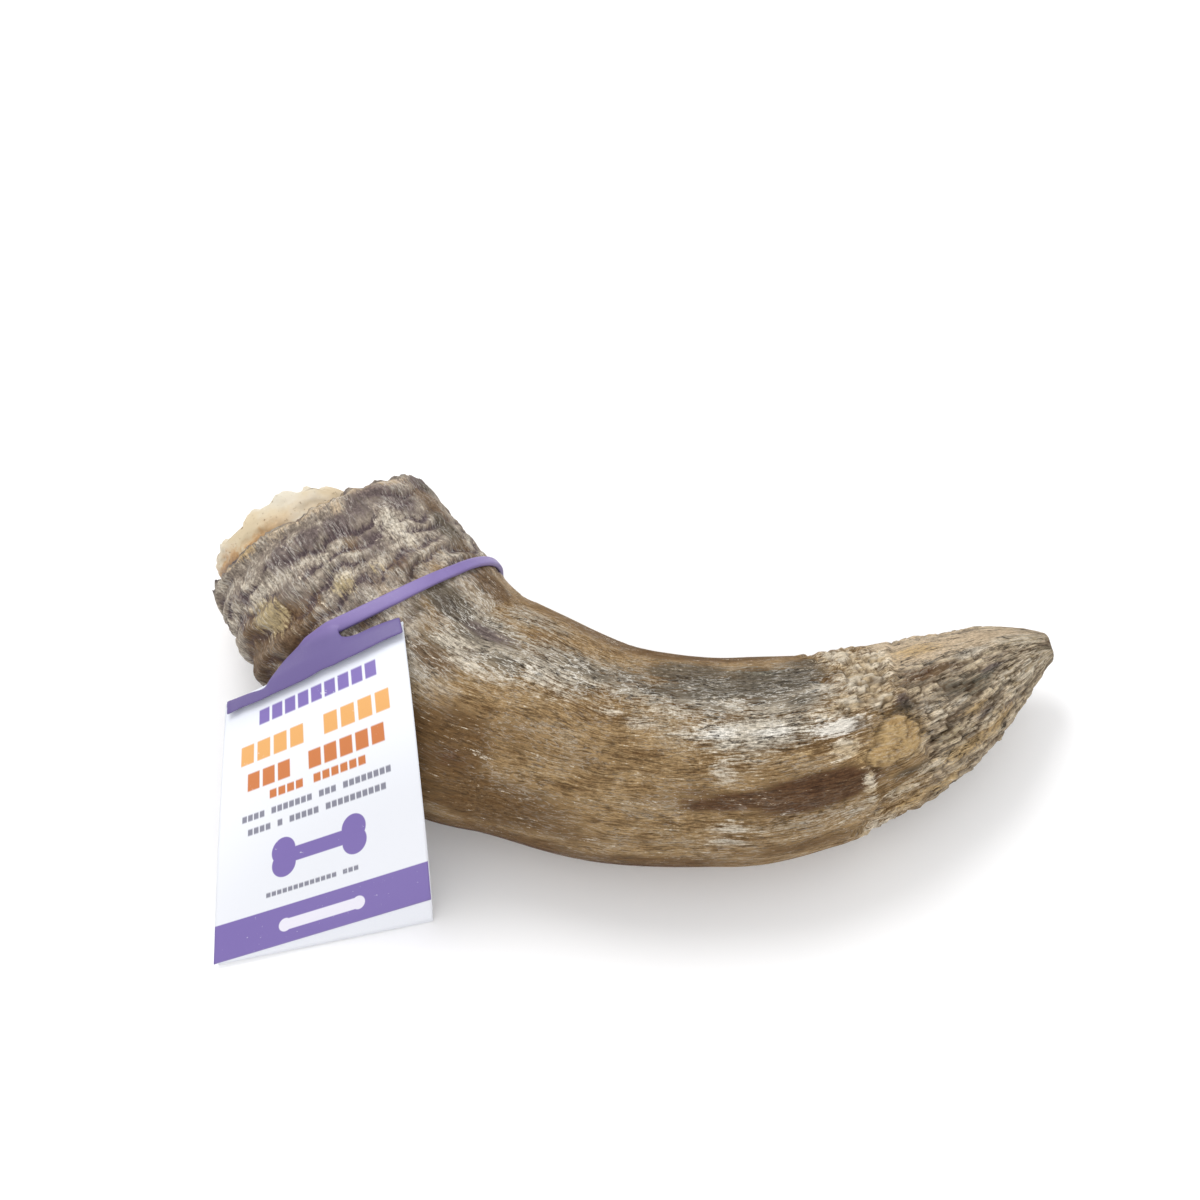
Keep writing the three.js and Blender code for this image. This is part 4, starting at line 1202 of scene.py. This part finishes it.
def horn_finish(colours):
    """Dry fibrous horn: grained along the fibres, furry folds at the base and broken bundles at the tip."""
    f = Finish("horn")
    straight = f.vector("grain")
    grain = f.swirled(straight, 9, 3.5)
    place = f.axes(straight)["Z"]
    crest, painted_hollow_shade, lot = f.axes(f.vector("relief"))

    hair = f.noise(f.stretched(grain, 0.25, 2), detail=4, roughness=0.75)
    fibre = f.noise(f.stretched(grain, 0.6, 6), detail=4, roughness=0.7)
    strand = f.noise(f.stretched(grain, 2.2, 15), detail=4, roughness=0.65)
    speck = f.noise(f.stretched(straight, 0.7, 0.8), detail=4, roughness=0.8)
    cloud = f.noise(f.stretched(grain, 6, 9), detail=4, roughness=0.6)
    spot = f.spot()
    blotch = f.noise(spot, detail=4, roughness=0.65, scale=130)
    edge = f.added(f.less(blotch), 60, place)
    at_base = f.ramp(f.added(f.less(fibre), 30, edge), *BASE_LOOKS_FADE, 1.0, 0.0)
    felt = f.noise(f.stretched(grain, 0.4, 0.8), detail=4, roughness=0.75)
    hair = f.added(f.less(felt, hair), f.times(at_base, 0.6), hair)
    fuzz = f.less(hair)
    streak = f.added(fibre, 0.6, f.times(strand, 0.4))

    rough = f.added(f.less(streak), 2.2, f.times(fuzz, 1.2))
    rough = f.added(f.less(speck), 1.0, rough)

    def patch(name, top=0.8):
        """A patch's share with edges frayed by the fibres."""
        return f.ramp(f.math("ADD", f.share(name), rough), 0.25, 0.75, 0.0, top)

    body = f.added(hair, 0.3, f.times(streak, 0.5))
    body = f.added(cloud, 0.2, body)
    colour = f.blend(f.ramp(body, 0.38, 0.58), colours.umber, colours.ochre)
    colour = f.blend(f.ramp(cloud, 0.5, 0.7, 0.0, 0.3), colour, colours.grey)
    mixed = f.added(hair, 0.35, f.times(streak, 0.65))
    weathered = f.blend(f.ramp(mixed, 0.38, 0.62), colours.slate, colours.pale)
    weathered = f.blend(f.ramp(cloud, 0.4, 0.62, 0.1, 0.75), weathered, colours.grey)
    colour = f.blend(patch("grey", 0.9), colour, weathered)

    # Broken bundles are paler the higher they stand, partly the cream of fresh breaks and partly painted
    # highlight on their tops.
    bundle = f.added(fuzz, 0.9, lot)
    mud = f.blend(0.75, colours.umber, colours.grey)
    sand = f.blend(0.5, colours.ochre, colours.pale)
    bundles = f.blend(f.ramp(bundle, -0.1, 0.35), mud, sand)
    bundles = f.blend(f.ramp(bundle, 0.35, 0.75), bundles, colours.cream)
    at_tip = f.ramp(f.added(fuzz, 8, place), *TIP_LOOKS_FROM, 0.0, 0.9)
    colour = f.blend(at_tip, colour, bundles)

    # The base folds: plum in the creases and pale on the crests, partly the horn's own banding and partly
    # painted shade and highlight.
    furry = f.added(fuzz, 1.1, crest)
    furry = f.added(f.less(speck), 1.2, furry)
    furry = f.added(f.less(cloud), 1.4, furry)
    folds = f.blend(f.ramp(furry, 0.15, 0.75), colours.plum, colours.dun)
    folds = f.blend(f.ramp(furry, 0.75, 1.3, 0.0, 0.8), folds, colours.pale)
    colour = f.blend(at_base, colour, folds)
    for name in ("tan", "umber", "plum", "slate", "maroon", "moss", "straw", "pale"):
        colour = f.blend(patch(name), colour, getattr(colours, name))
    # Painted shade: the creases of the base folds are darkened further towards plum.
    crease_painted_shade = f.times(at_base, f.ramp(f.added(fuzz, 0.5, crest), 0.05, 0.55, 0.5, 0.0))
    colour = f.blend(crease_painted_shade, colour, colours.plum)
    # Crumbs are paler the higher they stand: the cream of fresh breaks, with painted highlight on their tops.
    low_crumb = f.blend(0.65, colours.ochre, colours.cream)
    high_crumb = f.blend(0.3, colours.cream, colours.chalk)
    colour = f.blend(patch("cream", 0.9), colour, f.blend(f.ramp(lot, -0.1, 0.55), low_crumb, high_crumb))
    colour = f.blend(patch("amber"), colour, colours.amber)
    colour = f.blend(patch("chalk", 0.85), colour, colours.chalk)
    on_knob = f.ramp(crest, 1.05, 1.5)
    worn = f.added(f.less(speck), 0.8, f.noise(f.stretched(straight, 2.4, 2.4)))
    smooth = f.blend(f.ramp(worn, 0.36, 0.62), KNOB_SHADE, colours.amber)
    colour = f.blend(on_knob, colour, smooth)

    contrast = f.added(hair, 0.55, f.times(speck, 0.45))
    wild = f.most(f.most(f.share("grey"), at_base), at_tip)
    dry = f.ramp(wild, 0.1, 0.7, 0.35, 1.0)
    wild = f.ramp(wild, 0.1, 0.7, 0.95, 1.12)
    wild = f.times(wild, f.ramp(f.share("cream"), 0.4, 1.0, 1.0, 0.7))
    wild = f.times(wild, f.ramp(on_knob, 0.0, 1.0, 1.0, 0.4))
    shade = f.ramp(contrast, 0.36, 0.64, -0.42, 0.4)
    shade = f.added(shade, wild, 1.0)
    colour = f.blend(1.0, colour, f.grey(shade), "MULTIPLY")

    line = f.noise(f.stretched(f.shifted(grain, 37.0), 0.9, 8), detail=3, roughness=0.6)
    line = f.math("ABSOLUTE", f.less(line))
    some = f.ramp(f.noise(f.stretched(f.shifted(grain, 91.0), 2.5, 5), detail=2), 0.48, 0.6)
    some = f.times(some, f.less(1.0, f.times(at_base, 0.7)))
    cracked = f.times(f.ramp(line, 0.026, 0.006), f.times(some, f.times(wild, dry)))
    colour = f.blend(f.times(cracked, 0.8), colour, CRACK_SHADE)
    wisp = f.noise(f.stretched(f.shifted(grain, 11.0), 0.8, 4.0), detail=3, roughness=0.6)
    wisp = f.math("ABSOLUTE", f.less(wisp))
    whiter = f.most(f.ramp(f.share("grey"), 0.2, 0.8, 0.2, 0.75), f.times(at_base, 0.35))
    dark = f.most(f.times(f.share("slate"), 0.8), f.share("maroon"))
    dark = f.most(dark, f.share("umber"))
    whiter = f.times(whiter, f.ramp(dark, 0.3, 1.2, 1.0, 0.3))
    wisp = f.times(f.ramp(wisp, 0.035, 0.006), f.times(whiter, f.ramp(cloud, 0.4, 0.55)))
    colour = f.blend(wisp, colour, colours.chalk)
    # Painted shade in the gaps between crumbs and flakes and in the knob's cracks and the crease round it.
    colour = f.blend(f.ramp(painted_hollow_shade, 0.15, 0.9, 0.0, 0.65), colour, CREVICE_PAINTED_SHADE)

    height = f.added(hair, 0.6, f.times(fibre, 0.7))
    height = f.added(speck, 0.4, height)
    height = f.less(height, f.times(cracked, 0.8))
    f.set(
        Base_Color=colour,
        Roughness=f.ramp(fibre, 0.3, 0.7, 0.9, 0.7),
        Normal=f.bump(height, 0.34),
    )
    f.shader.inputs["Specular IOR Level"].default_value = 0.2
    return f.material


def bone_finish(colours):
    """Cream bone with a rusty stain where it meets the horn."""
    f = Finish("bone")
    spot = f.spot()
    local = f.axes(f.vector("grain"))
    wide = f.noise(spot, detail=4, scale=110)
    fine = f.noise(spot, detail=5, roughness=0.7, scale=900)
    pores = f.noise(spot, detail=2, roughness=0.5, scale=1500)
    colour = f.blend(f.ramp(wide, 0.35, 0.65), colours.fat, colours.bone)
    colour = f.blend(f.ramp(fine, 0.3, 0.6, 0.25, 0.0), colour, colours.fat)
    depth = f.added(f.less(wide), 9.0, local["Z"])
    depth = f.added(f.less(fine), 4.0, depth)
    outer = f.ramp(local["Y"], 0.1, 0.65, 0.12, 0.78)
    stain = f.times(f.ramp(depth, -8.4, -5.4), f.ramp(f.noise(spot, detail=3, scale=260), 0.34, 0.5))
    colour = f.blend(f.times(stain, outer), colour, colours.rust)
    colour = f.blend(f.times(f.ramp(depth, -6.4, -3.6), outer), colour, colours.blood)
    pitted = f.ramp(pores, 0.34, 0.27)
    colour = f.blend(f.times(pitted, 0.6), colour, colours.blood)
    height = f.added(fine, 0.6, f.times(pitted, -0.4))
    f.set(Base_Color=colour, Roughness=0.5, Normal=f.bump(height, 0.2))
    return f.material


def elastic_finish(looks):
    """Smooth moulded elastomer with a satin skin."""
    f = Finish("elastic")
    spot = f.spot()
    cloud = f.noise(spot, detail=3, scale=120)
    dust = f.noise(spot, detail=4, roughness=0.7, scale=2600)
    colour = f.blend(f.ramp(cloud, 0.35, 0.65, 0.0, 0.25), looks.colour, ELASTIC_BLOOM)
    colour = f.blend(f.ramp(dust, 0.62, 0.75, 0.0, 0.35), colour, ELASTIC_DUST)
    # Painted shade on the web: darker than the strap from a slanting line down.
    axes = f.axes(spot)
    risen = f.times(axes["Z"], TAG_UPWARD.z)
    risen = f.added(axes["Y"], TAG_UPWARD.y, risen)
    risen = f.added(axes["X"], -WEB_PAINTED_SHADE_SLOPE, risen)
    web_painted_shade = f.ramp(risen, WEB_PAINTED_SHADE_FROM * MM, (WEB_PAINTED_SHADE_FROM - WEB_PAINTED_SHADE_OVER) * MM, 0.0, 0.9)
    colour = f.blend(web_painted_shade, colour, WEB_PAINTED_SHADE)
    f.set(Base_Color=colour, Roughness=f.ramp(dust, 0.3, 0.7, 0.5, 0.38), Normal=f.bump(dust, 0.03))
    f.shader.inputs["Specular IOR Level"].default_value = 0.4
    return f.material


def paper_finish(looks):
    """Plain white card."""
    f = Finish("card")
    spot = f.spot()
    fibre = f.noise(spot, detail=5, roughness=0.7, scale=2200)
    colour = f.blend(f.ramp(fibre, 0.3, 0.7, 0.0, 0.12), looks.paper, PAPER_SHADE)
    f.set(Base_Color=colour, Roughness=0.55, Normal=f.bump(fibre, 0.012))
    return f.material


def printed_finish(looks):
    """White card with plain rows, a bone figure and a footer, and no words."""
    f = Finish("printed_card")
    chart = f.add("ShaderNodeUVMap", uv_map="print")
    u, v, _ = f.axes(chart.outputs[0])
    soft = 0.0025

    def within(value, middle, half, blur=soft):
        off = f.math("ABSOLUTE", f.less(value, middle))
        return f.ramp(off, half + blur, half - blur)

    def row(middle_v, half_v, start, pitch, words):
        """A row of plain blocks in groups, as set type looks from far away."""
        inside = within(v, middle_v, half_v, 0.004)
        cell = f.math("DIVIDE", f.less(u, start), pitch)
        filled = f.ramp(f.math("ABSOLUTE", f.less(f.math("FRACT", cell))), 0.44, 0.36)
        shown = 0.0
        first = 0
        for count in words:
            group = within(cell, first + count / 2, count / 2, 0.01)
            shown = f.most(group, shown)
            first += count + 1
        return f.times(inside, f.times(shown, filled))

    def disc(middle_u, middle_v, radius):
        """Round on the card, which is taller than it is wide."""
        across = f.less(u, middle_u)
        up = f.times(f.less(v, middle_v), CARD_SHAPE)
        far = f.math("SQRT", f.math("ADD", f.times(across, across), f.times(up, up)))
        return f.ramp(far, radius + soft, radius - soft)

    spot = f.spot()
    fibre = f.noise(spot, detail=5, roughness=0.7, scale=2200)
    # Painted shade: the card is bluer and darker towards the fold at its head, and stays so past it.
    colour = f.blend(f.ramp(v, 0.8, 1.0, 0.0, 0.55), looks.paper, PRINT_PAINTED_SHADE)
    # Each row's middle, half height, start, pitch and the blocks in its groups, and its colour.
    rows = [
        ((0.9, 0.027, 0.2, 0.072, (9,)), looks.violet),
        ((0.778, 0.036, 0.1, 0.089, (4, 4)), looks.peach),
        ((0.672, 0.033, 0.14, 0.08, (3, 5)), looks.copper),
        ((0.6, 0.016, 0.26, 0.045, (4, 6)), looks.copper),
        ((0.537, 0.012, 0.12, 0.03, (4, 7, 3, 8)), looks.ink),
        ((0.482, 0.012, 0.15, 0.03, (4, 1, 5, 10)), looks.ink),
        ((0.215, 0.009, 0.24, 0.026, (13, 3)), looks.ink),
    ]
    for sizes, ink in rows:
        colour = f.blend(row(*sizes), colour, ink)
    figure = f.times(within(u, 0.5, 0.16), within(v, 0.345, 0.028))
    for side_u in (0.33, 0.67):
        for side_v in (0.32, 0.37):
            figure = f.most(figure, disc(side_u, side_v, 0.058))
    colour = f.blend(figure, colour, looks.violet)
    footer = f.times(f.ramp(v, 0.157, 0.152), f.ramp(v, 0.0, 0.004))
    colour = f.blend(footer, colour, looks.violet)
    pill = f.times(within(u, 0.5, 0.17), within(v, 0.077, 0.022))
    for end_u in (0.33, 0.67):
        pill = f.most(pill, disc(end_u, 0.077, 0.03))
    colour = f.blend(f.times(pill, 0.9), colour, PILL_WHITE)
    worn = f.ramp(f.noise(spot, detail=4, roughness=0.7, scale=700), 0.66, 0.72, 0.0, 0.5)
    colour = f.blend(worn, colour, looks.paper)
    f.set(Base_Color=colour, Roughness=f.ramp(fibre, 0.3, 0.7, 0.42, 0.5), Normal=f.bump(fibre, 0.01))
    return f.material


def floor_finish(looks):
    """A plain pale floor."""
    f = Finish("floor")
    f.set(Base_Color=looks.floor_colour, Roughness=0.9)
    f.shader.inputs["Specular IOR Level"].default_value = 0.1
    return f.material


class HORNCHEW_OT_stage(bpy.types.Operator):
    """Adds the camera, the pale floor and the soft studio light"""

    bl_idname = "horn_chew.stage"
    bl_label = "Stage"

    def execute(self, context):
        looks = context.scene.horn_chew_stage
        self.add_camera(context, looks)
        self.add_floor(looks)
        self.add_light("key_light", KEY_AT, KEY_WIDTH, looks.key)
        self.add_light("fill_light", FILL_AT, FILL_WIDTH, looks.fill)
        world = bpy.data.worlds.new("studio")
        world.use_nodes = True
        sky = world.node_tree.nodes["Background"]
        sky.inputs["Color"].default_value = (1, 1, 1, 1)
        sky.inputs["Strength"].default_value = looks.sky
        context.scene.world = world
        context.scene.view_settings.view_transform = "Standard"
        return {"FINISHED"}

    def add_camera(self, context, looks):
        lens = bpy.data.cameras.new("camera")
        lens.lens = looks.lens
        lens.sensor_width = CAMERA_SENSOR
        camera = bpy.data.objects.new("camera", lens)
        back = Vector((0, -math.cos(looks.camera_elevation), math.sin(looks.camera_elevation)))
        camera.location = CAMERA_TARGET + back * looks.camera_distance
        camera.rotation_euler = (math.pi / 2 - looks.camera_elevation, 0, 0)
        context.scene.collection.objects.link(camera)
        context.scene.camera = camera

    def add_floor(self, looks):
        floor_mesh = bmesh.new()
        bmesh.ops.create_grid(floor_mesh, x_segments=1, y_segments=1, size=FLOOR_HALF)
        mesh = bpy.data.meshes.new("floor")
        floor_mesh.to_mesh(mesh)
        floor_mesh.free()
        floor = bpy.data.objects.new("floor", mesh)
        floor.location.z = -FLOOR_DROP
        bpy.context.scene.collection.objects.link(floor)
        mesh.materials.append(floor_finish(looks))

    def add_light(self, name, place, size, power):
        lamp = bpy.data.lights.new(name, "AREA")
        lamp.shape = "DISK"
        lamp.size = size
        lamp.energy = power
        light = bpy.data.objects.new(name, lamp)
        light.location = place
        light.rotation_euler = (-place).to_track_quat("-Z", "Y").to_euler()
        bpy.context.scene.collection.objects.link(light)


class HORNCHEW_OT_horn(bpy.types.Operator):
    """Adds the horn with its torn rim, folds, ledge and blunt tip"""

    bl_idname = "horn_chew.horn"
    bl_label = "Horn"

    def execute(self, context):
        material = horn_finish(context.scene.horn_chew_colours)
        sizes = context.scene.horn_chew_sizes
        build_horn(sizes, material)
        return {"FINISHED"}


class HORNCHEW_OT_core(bpy.types.Operator):
    """Adds the bone core"""

    bl_idname = "horn_chew.core"
    bl_label = "Bone Core"

    def execute(self, context):
        build_core(bone_finish(context.scene.horn_chew_core))
        return {"FINISHED"}


class HORNCHEW_OT_tag(bpy.types.Operator):
    """Adds the folded card tag"""

    bl_idname = "horn_chew.tag"
    bl_label = "Card Tag"

    def execute(self, context):
        looks = context.scene.horn_chew_tag
        build_card(looks, printed_finish(looks), paper_finish(looks))
        return {"FINISHED"}


class HORNCHEW_OT_band(bpy.types.Operator):
    """Adds the elastic band with its web, which lies on the horn and the tag"""

    bl_idname = "horn_chew.band"
    bl_label = "Elastic Band"

    def execute(self, context):
        looks = context.scene.horn_chew_band
        build_band(looks, elastic_finish(looks), bpy.data.objects["horn"], bpy.data.objects["tag"])
        return {"FINISHED"}


class HORNCHEW_PT_panel(bpy.types.Panel):
    """Lists the pieces in the order in which they are built"""

    bl_label = "Horn Chew"
    bl_idname = "HORNCHEW_PT_panel"
    bl_space_type = "VIEW_3D"
    bl_region_type = "UI"
    bl_category = "Horn Chew"

    def draw(self, context):
        for operator in OPERATORS:
            self.layout.operator(operator.bl_idname)


GROUPS = {
    "horn_chew_sizes": HornSizes,
    "horn_chew_colours": HornColours,
    "horn_chew_core": CoreColours,
    "horn_chew_band": BandLooks,
    "horn_chew_tag": TagLooks,
    "horn_chew_stage": StageLooks,
}
OPERATORS = (HORNCHEW_OT_stage, HORNCHEW_OT_horn, HORNCHEW_OT_core, HORNCHEW_OT_tag, HORNCHEW_OT_band)
CLASSES = (*GROUPS.values(), *OPERATORS, HORNCHEW_PT_panel)


def register():
    for item in CLASSES:
        bpy.utils.register_class(item)
    for name, group in GROUPS.items():
        setattr(bpy.types.Scene, name, PointerProperty(type=group))


def unregister():
    for name in GROUPS:
        delattr(bpy.types.Scene, name)
    for item in reversed(CLASSES):
        bpy.utils.unregister_class(item)


def main():
    register()
    bpy.ops.horn_chew.stage()
    bpy.ops.horn_chew.horn()
    bpy.ops.horn_chew.core()
    bpy.ops.horn_chew.tag()
    bpy.ops.horn_chew.band()


if __name__ == "__main__":
    main()
